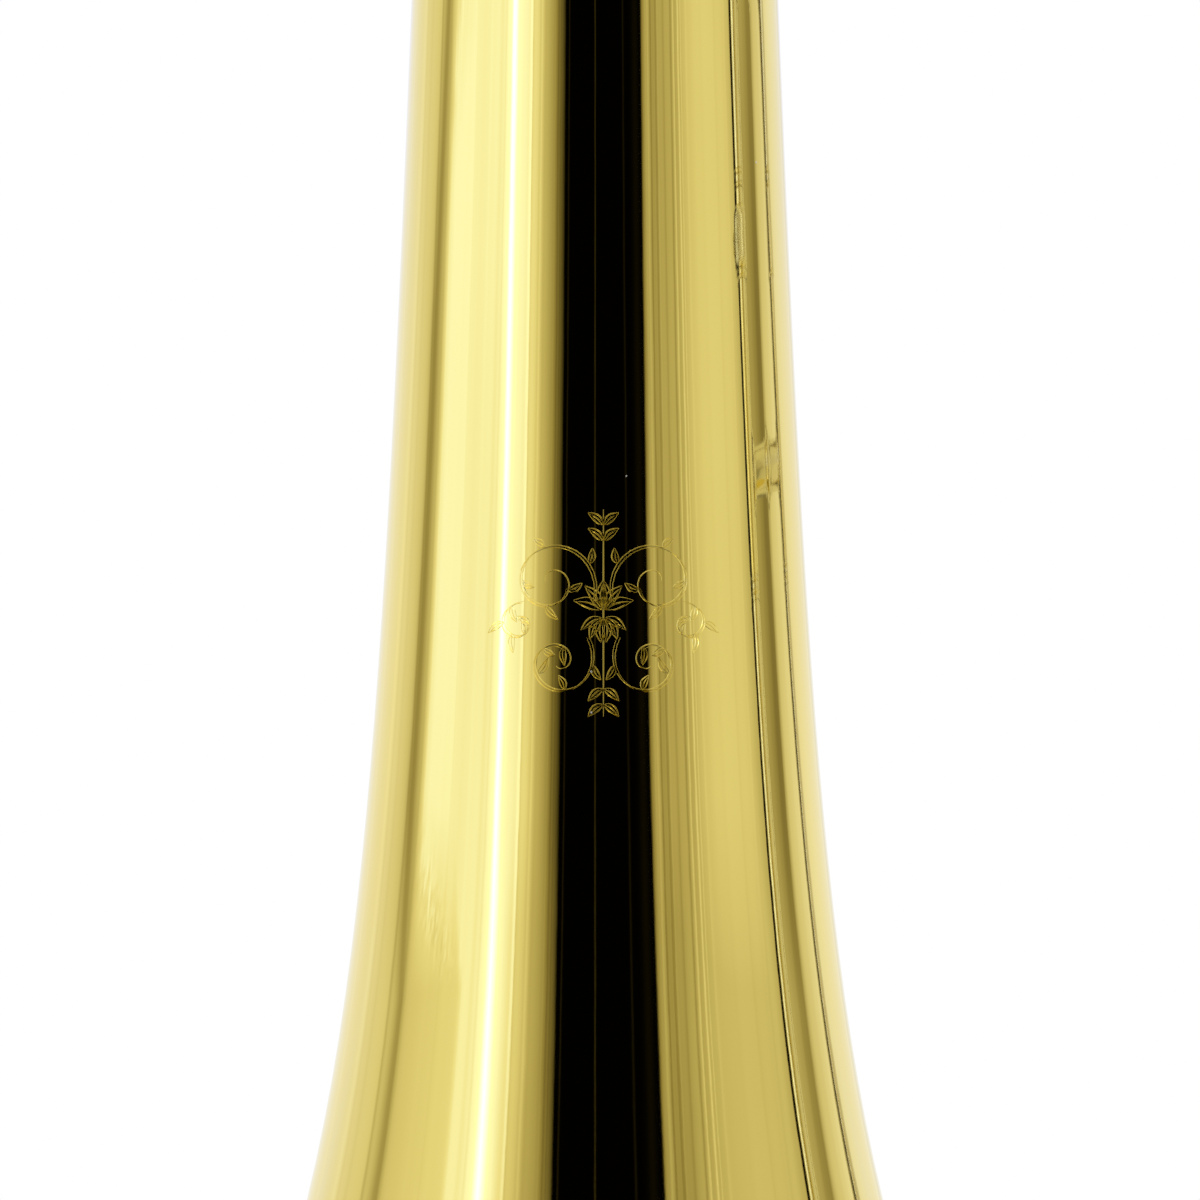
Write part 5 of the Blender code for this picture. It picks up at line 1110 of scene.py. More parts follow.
def make_slide_joint():
    """The socket on the gooseneck that takes the hand slide's tenon, and the nut that holds them together."""
    line, low, high, wide = upright("slide_receiver")
    nut_line, nut_low, nut_high, nut_radius = upright("lock_nut")
    tenon_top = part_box("cork_barrel_neck")[1].z
    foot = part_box("gooseneck")[0].z
    body = [(wide - 0.4 * MM, low)]
    turns = 6
    for i in range(turns):
        height = low + 0.6 * MM + (nut_high - low - 1 * MM) * i / turns
        body += [(wide - 0.5 * MM, height), (wide, height + 0.5 * MM)]
    body += [(wide - 0.6 * MM, nut_high + GAP)] + bead(SLIDE_RECEIVER_RADIUS, nut_high + 2 * MM, 0.55 * MM)
    body += bead(SLIDE_RECEIVER_RADIUS, high - 4.5 * MM, 0.4 * MM) + [(SLIDE_RECEIVER_RADIUS, high - 3 * MM)]
    body += [(TUBE_RADIUS + GAP + SLEEVE_WALL, high)]
    socket = TENON_RADIUS + GAP
    hollow = [(socket, low), (socket, tenon_top + GAP), (TUBE_RADIUS + GAP, foot), (TUBE_RADIUS + GAP, high)]
    piece("slide_receiver_socket", ring(body, hollow, stand(line), 0.15 * MM), "nickel_silver", "slide_receiver")

    step = 0.42 * MM
    body = [(nut_radius - 1 * MM, nut_low), (nut_radius - 0.3 * MM, nut_low + 0.8 * MM)]
    rows = int((nut_high - nut_low - 3.4 * MM) / step)
    body += [(nut_radius, nut_low + 1.6 * MM + i * step) for i in range(rows // 2 - 2)]
    waist = (nut_low + nut_high) / 2
    body += [(nut_radius - 0.9 * MM, waist - 1.2 * MM), (nut_radius - 0.9 * MM, waist - 0.8 * MM)]
    body += bead(nut_radius - 0.9 * MM, waist, 0.5 * MM)
    body += [(nut_radius - 0.9 * MM, waist + 0.8 * MM), (nut_radius - 0.9 * MM, waist + 1.2 * MM)]
    body += [(nut_radius, nut_high - 1.6 * MM - i * step) for i in range(rows // 2 - 2)][::-1]
    body += [(nut_radius - 0.3 * MM, nut_high - 0.8 * MM), (nut_radius - 1 * MM, nut_high)]
    neck = BARREL_RADIUS + SLIP
    thread = wide + SLIP
    hollow = [(neck, nut_low), (neck, nut_low + NUT_SHOULDER), (thread, nut_low + NUT_SHOULDER), (thread, nut_high)]
    knurl = (nut_low + 1.5 * MM, nut_high - 1.5 * MM, 60, 0.5 * MM, nut_radius - 0.3 * MM)
    nut = lathe(soften(body + hollow[::-1], 0.1 * MM, True, 2), stand(nut_line), True, 360, knurl)
    piece("lock_nut_knurled", nut, "nickel_silver", "lock_nut", sharp=50)


def make_inner_slide():
    """The fixed half of the hand slide: two inner tubes, cork barrels, leadpipe and lock ring."""
    for node in ("inner_tube_neck", "inner_tube_mouth"):
        line, low, high, wide = upright(node)
        step = low + STOCKING_LENGTH
        body = [(wide - 0.1 * MM, low), (wide, low + 0.3 * MM), (wide, step), (INNER_RADIUS, step + 1 * MM), (INNER_RADIUS, high)]
        tube = ring(body, [(INNER_BORE, low), (INNER_BORE, high)], stand(line), 0.1 * MM)
        piece(node + "_chromed", tube, "chrome", node)

    def barrel_foot(low):
        foot = [(BARREL_RADIUS - 0.5 * MM, low), (BARREL_RADIUS, low + 0.5 * MM)]
        for height in (11.5, 13.2):
            foot += bead(BARREL_RADIUS - 0.15 * MM, low + height * MM, 0.4 * MM)
        return foot

    line, low, high, wide = upright("cork_barrel_neck")
    nut_low, nut_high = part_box("lock_nut")[0].z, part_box("lock_nut")[1].z
    collar_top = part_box("slide_receiver")[0].z - GAP
    collar = collar_top - TENON_COLLAR
    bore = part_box("end_sleeve_neck")[1].x - line.x + GAP
    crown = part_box("cork_barrel_mouth")[0].z + 54 * MM
    socket = INNER_RADIUS + GAP
    body = barrel_foot(low) + bead(BARREL_RADIUS - 0.15 * MM, nut_low - 4 * MM, 0.4 * MM) + [(BARREL_RADIUS, collar)]
    body += [(wide, collar + 0.2 * MM), (wide, collar_top - 0.3 * MM), (wide - 0.5 * MM, collar_top)]
    body += [(TENON_RADIUS, collar_top), (TENON_RADIUS - 0.15 * MM, high - 0.5 * MM), (TENON_RADIUS - 0.6 * MM, high)]
    hollow = [(bore, low), (bore, crown - GAP), (socket, crown), (socket, high)]
    piece("cork_barrel_neck_shell", ring(body, hollow, stand(line), 0.12 * MM), "nickel_silver", "cork_barrel_neck")

    line, low, high, wide = upright("cork_barrel_mouth")
    barrel_top = high - MOUTHPIECE_RECEIVER_LENGTH
    narrow = MOUTHPIECE_RECEIVER_RADIUS
    body = barrel_foot(low) + bead(BARREL_RADIUS - 0.15 * MM, barrel_top - 6 * MM, 0.4 * MM)
    body += bead(BARREL_RADIUS - 0.15 * MM, barrel_top - 4.3 * MM, 0.4 * MM)
    body += [(BARREL_RADIUS, barrel_top)] + cove((BARREL_RADIUS - 0.1 * MM, barrel_top + 0.4 * MM), (narrow, barrel_top + 4 * MM))
    body += bead(narrow, high - 14 * MM, 0.45 * MM) + [(narrow, high - 4 * MM), (narrow + BEAD, high - 3.5 * MM)]
    body += [(narrow + BEAD, high - 0.4 * MM), (narrow + BEAD - 0.4 * MM, high)]
    mouth_bore = SHANK_RADIUS + GAP
    stop = high - SHANK_DEPTH - RECEIVER_STOP
    seat = LEADPIPE_RADIUS + GAP
    hollow = [(bore, low), (bore, crown - GAP), (socket, crown), (socket, barrel_top + GAP), (seat, barrel_top + GAP)]
    hollow += [(seat, stop), (mouth_bore - SHANK_TAPER * (high - stop), stop + GAP), (mouth_bore, high)]
    piece("cork_barrel_mouth_shell", ring(body, hollow, stand(line), 0.12 * MM), "nickel_silver", "cork_barrel_mouth")

    line, low, high, wide = upright("leadpipe")
    inside = wide - 0.5 * MM
    pipe_shape = ring([(wide, low), (wide, high)], [(inside, low), (inside, high)], stand(line), 0.15 * MM)
    piece("leadpipe_tube", pipe_shape, "lacquered_brass", "leadpipe")

    low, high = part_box("slide_lock_ring")
    line = upright("cork_barrel_neck")[0]
    inside = BARREL_RADIUS + SLIP
    wide = (high.x - low.x) / 2
    rows = 12
    body = [(wide - 0.4 * MM, low.z), (wide - 0.1 * MM, low.z + 0.5 * MM)]
    body += [(wide, low.z + 1 * MM + (high.z - low.z - 2 * MM) * i / rows) for i in range(rows + 1)]
    body += [(wide - 0.1 * MM, high.z - 0.5 * MM), (wide - 0.4 * MM, high.z)]
    body += [(inside, high.z), (inside, low.z)]
    knurl = (low.z + 0.9 * MM, high.z - 0.9 * MM, 60, 0.3 * MM, wide - 0.2 * MM)
    piece("slide_lock_ring_knurled", lathe(soften(body, 0.1 * MM, True, 2), stand(line), True, 360, knurl),
          "nickel_silver", "slide_lock_ring", sharp=50)
    middle = line + Z * (low.z + high.z) / 2
    foot = middle - Y * (wide + 0.02 * MM)
    knob = [(0, 0), (1.6 * MM, 0), (1.6 * MM, 0.5 * MM), (2 * MM, 1.1 * MM), (2 * MM, 1.9 * MM)]
    knob += [(1.4 * MM, line.y - low.y - wide), (0, line.y - low.y - wide)]
    piece("slide_lock_lug", lathe(soften(knob, 0.3 * MM, False), stand(foot, -Y), False, 32), "nickel_silver",
          "slide_lock_ring")


def make_outer_slide():
    """The moving half of the hand slide: outer tubes with ferrules, end sleeves, crook, bumper and water key."""
    for side in ("neck", "mouth"):
        node = "outer_tube_" + side
        line, low, high, wide = upright(node)
        tube = ring([(OUTER_RADIUS, low), (OUTER_RADIUS, high)], [(OUTER_BORE, low), (OUTER_BORE, high)],
                    stand(line), 0.1 * MM)
        piece(node + "_drawn", tube, "nickel_silver", node)
        top = low + FERRULE_LENGTH
        snug = OUTER_RADIUS + 0.02 * MM
        body = [(wide - 0.2 * MM, low)] + bead(wide - 0.25 * MM, low + 0.9 * MM, 0.45 * MM)
        body += [(wide - 0.25 * MM, low + 2 * MM), (wide - 0.25 * MM, top - 7 * MM)]
        body += bead(wide - 0.3 * MM, top - 6 * MM, 0.5 * MM) + bead(wide - 0.3 * MM, top - 4.2 * MM, 0.35 * MM)
        body += [(wide - 0.3 * MM, top - 3.4 * MM), (snug + 0.25 * MM, top)]
        ferrule = ring(body, [(snug, low), (snug, top)], stand(line), 0.15 * MM)
        piece(f"ferrule_{side}", ferrule, "nickel_silver", node)

        node = "end_sleeve_" + side
        line, low, high, wide = upright(node)
        snug = OUTER_RADIUS + 0.3 * MM
        thin = wide - 0.15 * MM
        body = [(thin - 0.1 * MM, low)] + bead(thin - 0.2 * MM, low + 1 * MM, 0.35 * MM)
        body += bead(thin - 0.2 * MM, low + 2.4 * MM, 0.35 * MM) + [(thin, low + 3.4 * MM), (thin, high)]
        piece(node + "_tube", ring(body, [(snug, low), (snug, high)], stand(line), 0.1 * MM), "nickel_silver", node)

    low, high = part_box("slide_crook")
    neck = upright("outer_tube_neck")[0]
    mouth = upright("outer_tube_mouth")[0]
    key_low, key_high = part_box("water_key")
    hole_z = key_low.z + KEY_PAD_RADIUS
    pivot = neck + Vector((0, KEY_PIVOT_Y, hole_z + KEY_REACH))
    hole = neck + Z * hole_z
    bottom = low.z + CROOK_RADIUS
    corners = [neck + Z * high.z, neck + Z * bottom, mouth + Z * bottom, mouth + Z * high.z]
    drain = rod(hole, hole - Y * 2 * CROOK_RADIUS, KEY_HOLE_RADIUS)
    crook = carve(pipe(corners, (mouth.y - neck.y) / 2, CROOK_RADIUS, CROOK_RADIUS - 0.6 * MM), (), [drain])
    piece("slide_crook_bow", crook, "lacquered_brass", "slide_crook")

    outside = CROOK_RADIUS + 0.05 * MM
    flange = -outside
    base = hole + Y * flange
    spout = [(NIPPLE_RADIUS + 1.2 * MM, 0), (NIPPLE_RADIUS + 1.2 * MM, 0.4 * MM)]
    spout += cove((NIPPLE_RADIUS + 0.9 * MM, 0.5 * MM), (NIPPLE_RADIUS - 0.2 * MM, 1.4 * MM))
    rise = outside + NIPPLE_END
    spout += [(NIPPLE_RADIUS - 0.2 * MM, -rise - 0.4 * MM), (NIPPLE_RADIUS - 0.5 * MM, -rise)]
    bore = [(KEY_HOLE_RADIUS, 0), (KEY_HOLE_RADIUS, -rise)]
    nipple = lathe(spout + bore[::-1], stand(base, -Y), True, 48)
    wrap(nipple, base, -Y, Z, outside, 2.4 * MM)
    piece("drain_nipple", nipple, "nickel_silver", "slide_crook")

    half = KEY_HUB_HALF + GAP + EAR_THICK / 2
    for i, sign in enumerate((-1, 1)):
        root = -math.sqrt(outside ** 2 - (half + EAR_THICK / 2) ** 2)
        top = arc((0, 0), KEY_HUB_RADIUS, -90, 90)
        depth = -(KEY_PIVOT_Y - root)
        ear = top + [(-depth, KEY_HUB_RADIUS + 1.2 * MM), (-depth, -KEY_HUB_RADIUS - 1.2 * MM)]
        place = lying(pivot + X * sign * half, -Y, X)
        piece(f"key_ear_{i}", prism(ear, -EAR_THICK / 2, EAR_THICK / 2, place, 0.2 * MM), "nickel_silver",
              "slide_crook")
    pin = rod(pivot - X * (half + EAR_THICK * 0.45), pivot + X * (half + EAR_THICK * 0.45), KEY_PIN_RADIUS, 0.2 * MM)
    piece("key_pin", pin, "spring_steel", "slide_crook")

    low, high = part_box("crook_bumper")
    centre = Vector(((low.x + high.x) / 2, (low.y + high.y) / 2, 0))
    foot_top = low.z + 8 * MM
    stem = [(0, foot_top + 0.02 * MM), (BUMPER_RADIUS - 0.4 * MM, foot_top + 0.02 * MM)]
    stem += bead(BUMPER_RADIUS - 0.4 * MM, foot_top + 1.2 * MM, 0.4 * MM)
    stem += bead(BUMPER_RADIUS - 0.4 * MM, foot_top + 2.6 * MM, 0.4 * MM)
    stem += cove((BUMPER_RADIUS - 1.4 * MM, foot_top + 3.4 * MM), (BUMPER_RADIUS - 1.9 * MM, foot_top + 6 * MM))
    stem += [(BUMPER_RADIUS - 0.3 * MM, high.z), (0, high.z)]
    bm = lathe(stem, stand(centre), False, 64)
    bend = (mouth.y - neck.y) / 2
    for vert in bm.verts:
        if vert.co.z > high.z - 0.1 * MM:
            across = vert.co.x - centre.x
            along = vert.co.y - centre.y
            reach = bend + math.sqrt(CROOK_RADIUS ** 2 - across ** 2)
            vert.co.z = bottom + bend - math.sqrt(reach ** 2 - along ** 2) - 0.1 * MM
    piece("bumper_socket", bm, "nickel_silver", "crook_bumper")
    wide = (high.x - low.x) / 2
    foot = [(0, low.z), (wide - 2 * MM, low.z), (wide, low.z + 2.5 * MM), (wide, foot_top - 0.8 * MM)]
    foot += [(wide - 0.8 * MM, foot_top), (0, foot_top)]
    piece("bumper_foot", lathe(soften(foot, 1 * MM, False), stand(centre), False, 64), "rubber", "crook_bumper")

    low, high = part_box("water_key_spring")
    radius = KEY_HUB_RADIUS + GAP + KEY_SPRING_WIRE
    start = Vector((low.x + KEY_SPRING_WIRE, pivot.y, pivot.z))
    coil("water_key_spring_wire", start, X, Y, radius, KEY_SPRING_WIRE, KEY_SPRING_PITCH, KEY_SPRING_CURLS,
         Z * 3 * KEY_HUB_RADIUS, "water_key_spring")
    make_water_key(hole, pivot, key_high.z)


def make_water_key(hole, pivot, tail_z):
    """The sprung lever that closes the drain hole with a cork pad."""
    line = Vector((hole.x, 0, 0))
    pad_top = NIPPLE_END - GAP
    seat = line + Vector((0, pad_top, hole.z))
    cork = [(0, 0), (KEY_PAD_RADIUS - 0.5 * MM, 0), (KEY_PAD_RADIUS - 0.4 * MM, 0.9 * MM), (0, 0.9 * MM)]
    piece("key_cork", lathe(soften(cork, 0.15 * MM, False), stand(seat, -Y), False, 48), "cork", beside="water_key")
    cup = [(0, 0.92 * MM), (KEY_PAD_RADIUS - 0.35 * MM, 0.92 * MM), (KEY_PAD_RADIUS - 0.35 * MM, 0.5 * MM)]
    cup += [(KEY_PAD_RADIUS, 0.5 * MM), (KEY_PAD_RADIUS, 1.1 * MM)]
    cup += [(KEY_PAD_RADIUS - 1 * MM, 1.6 * MM), (0, 1.8 * MM)]
    arm_y = pad_top - KEY_PAD_THICK + KEY_ARM_SINK - KEY_ARM_THICK / 2
    low = hole.z - KEY_PAD_RADIUS / 2
    joined = [rod(pivot - X * KEY_HUB_HALF, pivot + X * KEY_HUB_HALF, KEY_HUB_RADIUS, 0.3 * MM)]
    arm = slab((KEY_ARM_WIDTH / 2, KEY_ARM_THICK, tail_z - low - 2 * MM),
               Matrix.Translation(line + Vector((0, arm_y, (tail_z - 2 * MM + low) / 2))), 0.5 * MM)
    joined.append(arm)
    length = (tail_z - pivot.z) / 2
    tab = cushion(length, 2 * KEY_ARM_WIDTH, KEY_TAB_THICK,
                  lying(line + Vector((0, arm_y, tail_z - length / 2)), Z, -Y))
    joined.append(tab)
    bore = rod(pivot - X * 3 * KEY_HUB_HALF, pivot + X * 3 * KEY_HUB_HALF, KEY_PIN_RADIUS + GAP / 2)
    key = carve(lathe(soften(cup, 0.12 * MM, False), stand(seat, -Y), False, 48), joined, [bore])
    piece("water_key_lever", key, "nickel_silver", "water_key")


def make_mouthpiece():
    """A large-shank mouthpiece: tapered shank, turned bowl, rounded rim, deep cup and throat."""
    line, tip, top, wide = upright("mouthpiece")
    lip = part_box("cork_barrel_mouth")[1].z
    tip_radius = SHANK_RADIUS - SHANK_TAPER * SHANK_DEPTH
    outside = [(tip_radius - 0.1 * MM, tip), (tip_radius, tip + 0.3 * MM), (SHANK_RADIUS, lip + 6 * MM)]
    outside += bead(SHANK_RADIUS, lip + 7.5 * MM, 0.7 * MM)
    bowl = [(SHANK_RADIUS, lip + 9 * MM), (SHANK_RADIUS, lip + 17 * MM), (9 * MM, lip + 23 * MM)]
    bowl += [(14.4 * MM, lip + 30 * MM), (16.6 * MM, lip + 38 * MM), (17.5 * MM, top - 12 * MM), (18.3 * MM, top - 8 * MM)]
    outside += soften(bowl, 1, False, 8, 1)
    outside += bead(wide - 0.7 * MM, top - 6.4 * MM, 0.55 * MM)
    rim = [(wide - 0.7 * MM, top - 5.4 * MM), (wide, top - 4.6 * MM), (wide, top), (16.2 * MM, top)]
    rim += [(CUP_RADIUS, top), (CUP_RADIUS - 0.3 * MM, top - 4 * MM)]
    cup = [(CUP_RADIUS - 0.3 * MM, top - 4 * MM), (12.9 * MM, top - 9 * MM), (11 * MM, top - 16 * MM), (7.4 * MM, top - 23 * MM)]
    cup += [(THROAT_RADIUS, top - 28 * MM), (THROAT_RADIUS, top - 33 * MM)]
    inside = soften(cup, 1, False, 8, 1) + [(tip_radius - 0.8 * MM, tip)]
    outline = outside + soften(rim, 1.9 * MM, False, 8, 1) + inside
    piece("mouthpiece_turned", lathe(outline, stand(line)), "silver_plate", "mouthpiece", sharp=40)


def make_engraving():
    """A plain scroll ornament on the bell's throat, of fine lines like an engraver's."""
    chance = random.Random(8)

    def on_bell(u, v):
        x = ORNAMENT_CENTRE.x + u * MM
        z = ORNAMENT_CENTRE.y + v * MM
        return Vector((x, -math.sqrt(bell_radius(z) ** 2 - x * x), z))

    def stroke(points, thick=1.0):
        """A line that starts and ends as a fine point."""
        places = [on_bell(*point) for point in points]
        sections = []
        last = len(places) - 1
        for i, place in enumerate(places):
            ahead = (places[min(i + 1, last)] - places[max(i - 1, 0)]).normalized()
            out = Vector((place.x, place.y, 0)).normalized()
            side = ahead.cross(out).normalized()
            size = ORNAMENT_LINE * thick * (0.25 + 0.75 * math.sin(math.pi * (i + 0.3) / (last + 0.6)) ** 0.6)
            turns = [2 * math.pi * k / 6 for k in range(6)]
            sections.append([place + side * size * math.cos(turn) + out * size * 0.8 * math.sin(turn)
                             for turn in turns])
        return loft(sections)

    def spiral(centre, start, end, turn, sweep_by, steps=44):
        points = []
        for i in range(steps + 1):
            t = i / steps
            radius = start + (end - start) * t ** 0.8
            angle = math.radians(turn + sweep_by * t)
            points.append((centre[0] + radius * math.cos(angle), centre[1] + radius * math.sin(angle)))
        return points

    def leaf(root, heading, length, width):
        """An almond outline with its middle vein."""
        turn = math.radians(heading)
        edges = []
        for side in (1, 0, -1):
            line = []
            for i in range(15):
                t = i / 14
                along = length * t * (1 if side else 0.85)
                across = side * width * math.sin(math.pi * t ** 0.8) + 0.08 * length * math.sin(math.pi * t)
                line.append((root[0] + along * math.cos(turn) - across * math.sin(turn),
                             root[1] + along * math.sin(turn) + across * math.cos(turn)))
            edges.append(line)
        return edges

    lines = []
    scrolls = [
        spiral((6.0, 3.6), 5.6, 0.7, 205, -560),
        spiral((5.2, -5.6), 4.6, 0.6, 140, 520),
        spiral((9.6, -1.2), 2.6, 0.4, 100, -420),
    ]
    for scroll in scrolls:
        lines.append(scroll)
        lines.append([(u + 0.28, v - 0.2) for u, v in scroll[:30]])
        for k in (4, 10, 16, 22, 28):
            ahead = Vector(scroll[k + 1]) - Vector(scroll[k])
            heading = math.degrees(math.atan2(ahead.y, ahead.x)) + chance.choice((-50, 50, -65, 65))
            lines += leaf(scroll[k], heading, 1.5 + chance.random() * 0.9, 0.36)
    for heading in (18, 54, 90):
        lines += leaf((0.25 * math.cos(math.radians(heading)), 0.4), heading, 3.4, 0.6)
    for heading in (-30, -60, -88):
        lines += leaf((0.2, -0.6), heading, 2.8, 0.5)
    for height in (8.4, 10.2, -8.8, -10.6):
        lines += leaf((0.1, height), 40 if height > 0 else -40, 2.2, 0.4)
    mirrored = [[(-u, v) for u, v in line] for line in lines]
    stem = [[(0.0, -12 + 24 * i / 40) for i in range(41)]]
    strokes = [stroke(line) for line in lines + mirrored + stem]
    piece("bell_engraving", merge(strokes), "lacquered_brass", beside="bell")


def make_camera():
    data = bpy.data.cameras.new("camera")
    data.sensor_width = SENSOR
    data.lens = SENSOR * CAMERA_DISTANCE / VIEW_WIDTH
    data.clip_end = 50
    camera = bpy.data.objects.new("camera", data)
    camera.location = VIEW_CENTRE - Y * CAMERA_DISTANCE
    camera.rotation_euler = (math.radians(90), 0, 0)
    bpy.context.scene.collection.objects.link(camera)
    bpy.context.scene.camera = camera


def make_world():
    world = bpy.data.worlds.new("studio")
    bpy.context.scene.world = world
    world.use_nodes = True
    nodes = Nodes(world.node_tree)
    background = world.node_tree.nodes["Background"]
    path = nodes.add("ShaderNodeLightPath")
    seen = nodes.maths("ADD", path.outputs["Is Camera Ray"], path.outputs["Is Glossy Ray"])
    seen = nodes.maths("ADD", seen, path.outputs["Is Transmission Ray"])
    strength = nodes.maths("MULTIPLY_ADD", nodes.maths("MINIMUM", seen, 1.0), 0.4, 0.6)
    background.inputs["Color"].default_value = (1, 1, 1, 1)
    nodes.link(strength, background.inputs["Strength"])


def make_floor():
    """A pale floor that holds the object's shadow and turns plain white towards its edge."""
    bm = bmesh.new()
    bmesh.ops.create_circle(bm, cap_ends=True, segments=96, radius=FLOOR_RADIUS)
    mesh = bpy.data.meshes.new("studio_floor")
    bm.to_mesh(mesh)
    bm.free()
    floor = bpy.data.objects.new("studio_floor", mesh)
    floor.location = (0, 0, FLOOR_Z)
    bpy.context.scene.collection.objects.link(floor)
    look = bpy.data.materials.new("floor_white")
    look.use_nodes = True
    nodes = Nodes(look.node_tree)
    shader = look.node_tree.nodes["Principled BSDF"]
    shader.inputs["Base Color"].default_value = (0.95, 0.95, 0.95, 1)
    shader.inputs["Roughness"].default_value = 0.9
    shader.inputs["Specular IOR Level"].default_value = 0.1
    place = nodes.add("ShaderNodeTexCoord")
    length = nodes.add("ShaderNodeVectorMath", operation="LENGTH")
    nodes.link(place.outputs["Object"], length.inputs[0])
    fade = nodes.add("ShaderNodeMapRange", interpolation_type="SMOOTHSTEP")
    fade.inputs["From Min"].default_value = 0.25 * FLOOR_FADE
    fade.inputs["From Max"].default_value = FLOOR_FADE
    nodes.link(length.outputs["Value"], fade.inputs["Value"])
    white = nodes.add("ShaderNodeEmission")
    mixed = nodes.add("ShaderNodeMixShader")
    nodes.link(fade.outputs["Result"], mixed.inputs[0])
    nodes.link(shader.outputs[0], mixed.inputs[1])
    nodes.link(white.outputs[0], mixed.inputs[2])
    nodes.link(mixed.outputs[0], look.node_tree.nodes["Material Output"].inputs["Surface"])
    mesh.materials.append(look)


def reading(table, key):
    """A table's values at a key, straight between its entries."""
    for (start, *first), (end, *last) in zip(table, table[1:]):
        if key <= end:
            share = min(max((key - start) / max(end - start, 1e-6), 0), 1)
            return [a + (b - a) * share for a, b in zip(first, last)]
    return list(table[-1][1:])


def tent_folds():
    """The folds' part in the tent's brightness, at each of its strips."""
    chance = random.Random(5)
    folds = list(TENT_LINES)
    for low, high, count, width, depth in TENT_FOLDS:
        for _ in range(count):
            size = width * (0.4 + 1.2 * chance.random())
            folds.append((chance.uniform(low, high), size, depth * chance.uniform(-1, 0.8)))
    factors = []
    for k in range(TENT_STRIPS):
        angle = 360 * k / TENT_STRIPS - 180
        factors.append(math.prod(1 + depth * math.exp(-((angle - place) / size) ** 2) for place, size, depth in folds))
    return factors


def tent_levels(share, folds):
    """The tent's brightness at each of its strips. share is how far its panels have turned to their higher form."""
    panels = [(low + (high - low) * share, first + (last - first) * share) for low, first, high, last in TENT_PANELS]
    return [reading(panels, 360 * k / TENT_STRIPS - 180)[0] * fold for k, fold in enumerate(folds)]


def tent_colours(height, plain, tinted, levels, chance):
    """The colours along one row of the tent. plain is how near it is to the roof or the floor."""
    low, high = TENT_SWEEP
    colours = []
    for k in range(TENT_STRIPS):
        angle = 360 * k / TENT_STRIPS - 180
        if k % 5 == 0:
            rumple = chance.uniform(-0.14, 0.14)
        lifted = height * TENT_LIFT / max(math.cos(math.radians(angle / 2)), 0.05)
        share = min(max((lifted - low) / (high - low), 0), 1)
        edge = (angle + 101 - 31 * share) / 7
        level = levels[round(share * TENT_STEPS)][k]
        level *= 1 + rumple * math.sin(math.pi * share) * math.exp(-edge * edge)
        tint = [1 + (part - 1) * tinted for part in (1, *reading(TENT_TINT, level))]
        colours.append([level * part * (1 - plain) + TENT_ROOF * plain for part in tint])
    return colours


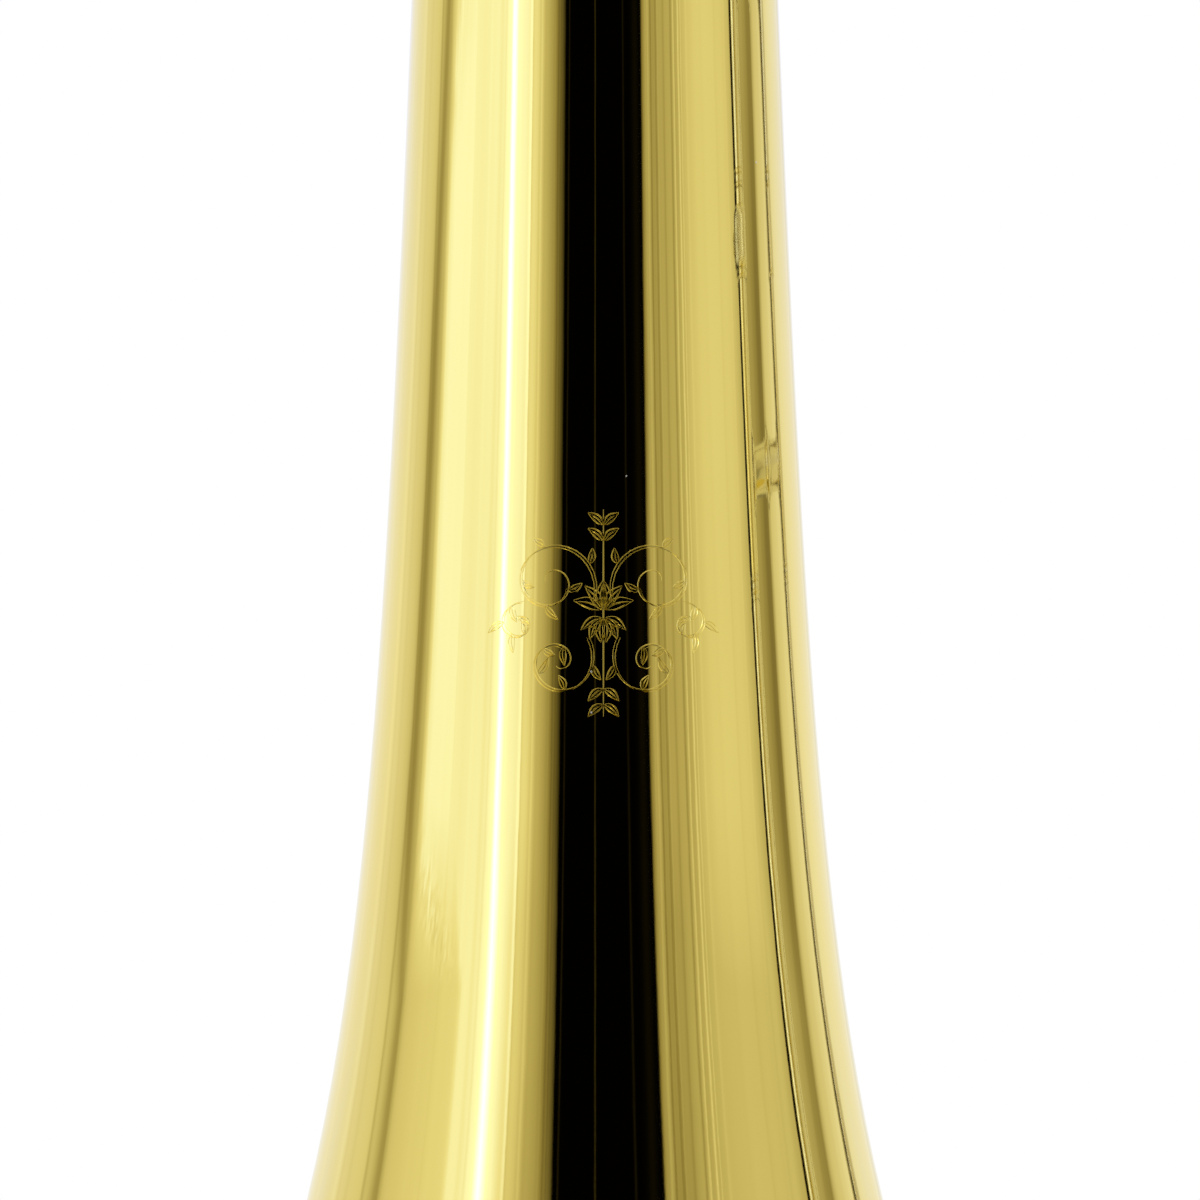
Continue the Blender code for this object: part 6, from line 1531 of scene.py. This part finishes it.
def make_tent():
    """A closed round tent of light and dark cloth that only reflections see."""
    rows = [(TENT_FOOT_RADIUS, TENT_LOW, 1, 0), (TENT_FOOT_RADIUS, TENT_FOOT, 0, 0), (TENT_FOOT_RADIUS, TENT_LEAN, 0, 0)]
    for step in range(TENT_ROWS + 1):
        rows.append((TENT_RADIUS, TENT_WALL + (TENT_SWEEP[1] - TENT_WALL) * step / TENT_ROWS, 0, 1))
    rows.append((TENT_RADIUS, TENT_TINTED, 0, 1))
    rows.append((TENT_RADIUS, TENT_SHOULDER, 0, 0))
    for step in range(1, 7):
        turn = math.radians(15 * step)
        rows.append((TENT_RADIUS * max(math.cos(turn), 0.001),
                     TENT_SHOULDER + (TENT_TOP - TENT_SHOULDER) * math.sin(turn), math.sin(turn) ** 0.5, 0))
    folds = tent_folds()
    levels = [tent_levels(step / TENT_STEPS, folds) for step in range(TENT_STEPS + 1)]
    chance = random.Random(9)
    bm = bmesh.new()
    layer = bm.loops.layers.float_color.new("level")
    rings = []
    colours = []
    for radius, height, plain, tinted in rows:
        colours.append(tent_colours(height, plain, tinted, levels, chance))
        ring_points = []
        for k in range(TENT_STRIPS):
            angle = 2 * math.pi * k / TENT_STRIPS - math.pi
            ring_points.append(bm.verts.new((radius * math.sin(angle), -radius * math.cos(angle), height)))
        rings.append(ring_points)
    for row in range(len(rows) - 1):
        for k in range(TENT_STRIPS):
            j = (k + 1) % TENT_STRIPS
            face = bm.faces.new((rings[row][k], rings[row][j], rings[row + 1][j], rings[row + 1][k]))
            for loop, (place, up) in zip(face.loops, ((k, row), (j, row), (j, row + 1), (k, row + 1))):
                loop[layer] = (*colours[up][place], 1)
    mesh = bpy.data.meshes.new("studio_tent")
    bm.to_mesh(mesh)
    bm.free()
    tent = bpy.data.objects.new("studio_tent", mesh)
    bpy.context.scene.collection.objects.link(tent)
    look = bpy.data.materials.new("tent_cloth")
    look.use_nodes = True
    nodes = Nodes(look.node_tree)
    look.node_tree.nodes.remove(look.node_tree.nodes["Principled BSDF"])
    shade = nodes.add("ShaderNodeAttribute", attribute_name="level")
    emission = nodes.add("ShaderNodeEmission")
    nodes.link(shade.outputs["Color"], emission.inputs["Color"])
    nodes.link(emission.outputs[0], look.node_tree.nodes["Material Output"].inputs["Surface"])
    mesh.materials.append(look)
    tent.visible_camera = False
    tent.visible_diffuse = False
    tent.visible_shadow = False
    tent.visible_transmission = False


def make_lights():
    for name, place, size, energy in (
        ("key_softbox", (-1.6, -1.4, 1.6), 1.2, 26),
        ("fill_softbox", (1.8, -1.0, 1.0), 1.2, 12),
        ("top_softbox", (0.2, 1.2, 2.2), 1.4, 16),
    ):
        data = bpy.data.lights.new(name, "AREA")
        data.size = size
        data.energy = energy
        lamp = bpy.data.objects.new(name, data)
        lamp.location = place
        lamp.rotation_euler = (-Vector(place)).to_track_quat("-Z", "Y").to_euler()
        lamp.visible_glossy = False
        bpy.context.scene.collection.objects.link(lamp)


def main():
    make_bell()
    make_engraving()
    make_tuning_receivers()
    make_main_tuning_slide()
    make_line_tubes()
    for prefix in ("f", "gb"):
        make_valve(prefix)
        make_lever(prefix)
    make_lever_axle()
    make_loop("f", -1)
    make_loop("gb", 1, GB_RUN_Z)
    make_braces()
    make_slide_joint()
    make_inner_slide()
    make_outer_slide()
    make_mouthpiece()
    make_camera()
    make_world()
    make_floor()
    make_tent()
    make_lights()
    bpy.context.scene.view_settings.view_transform = "Standard"


main()
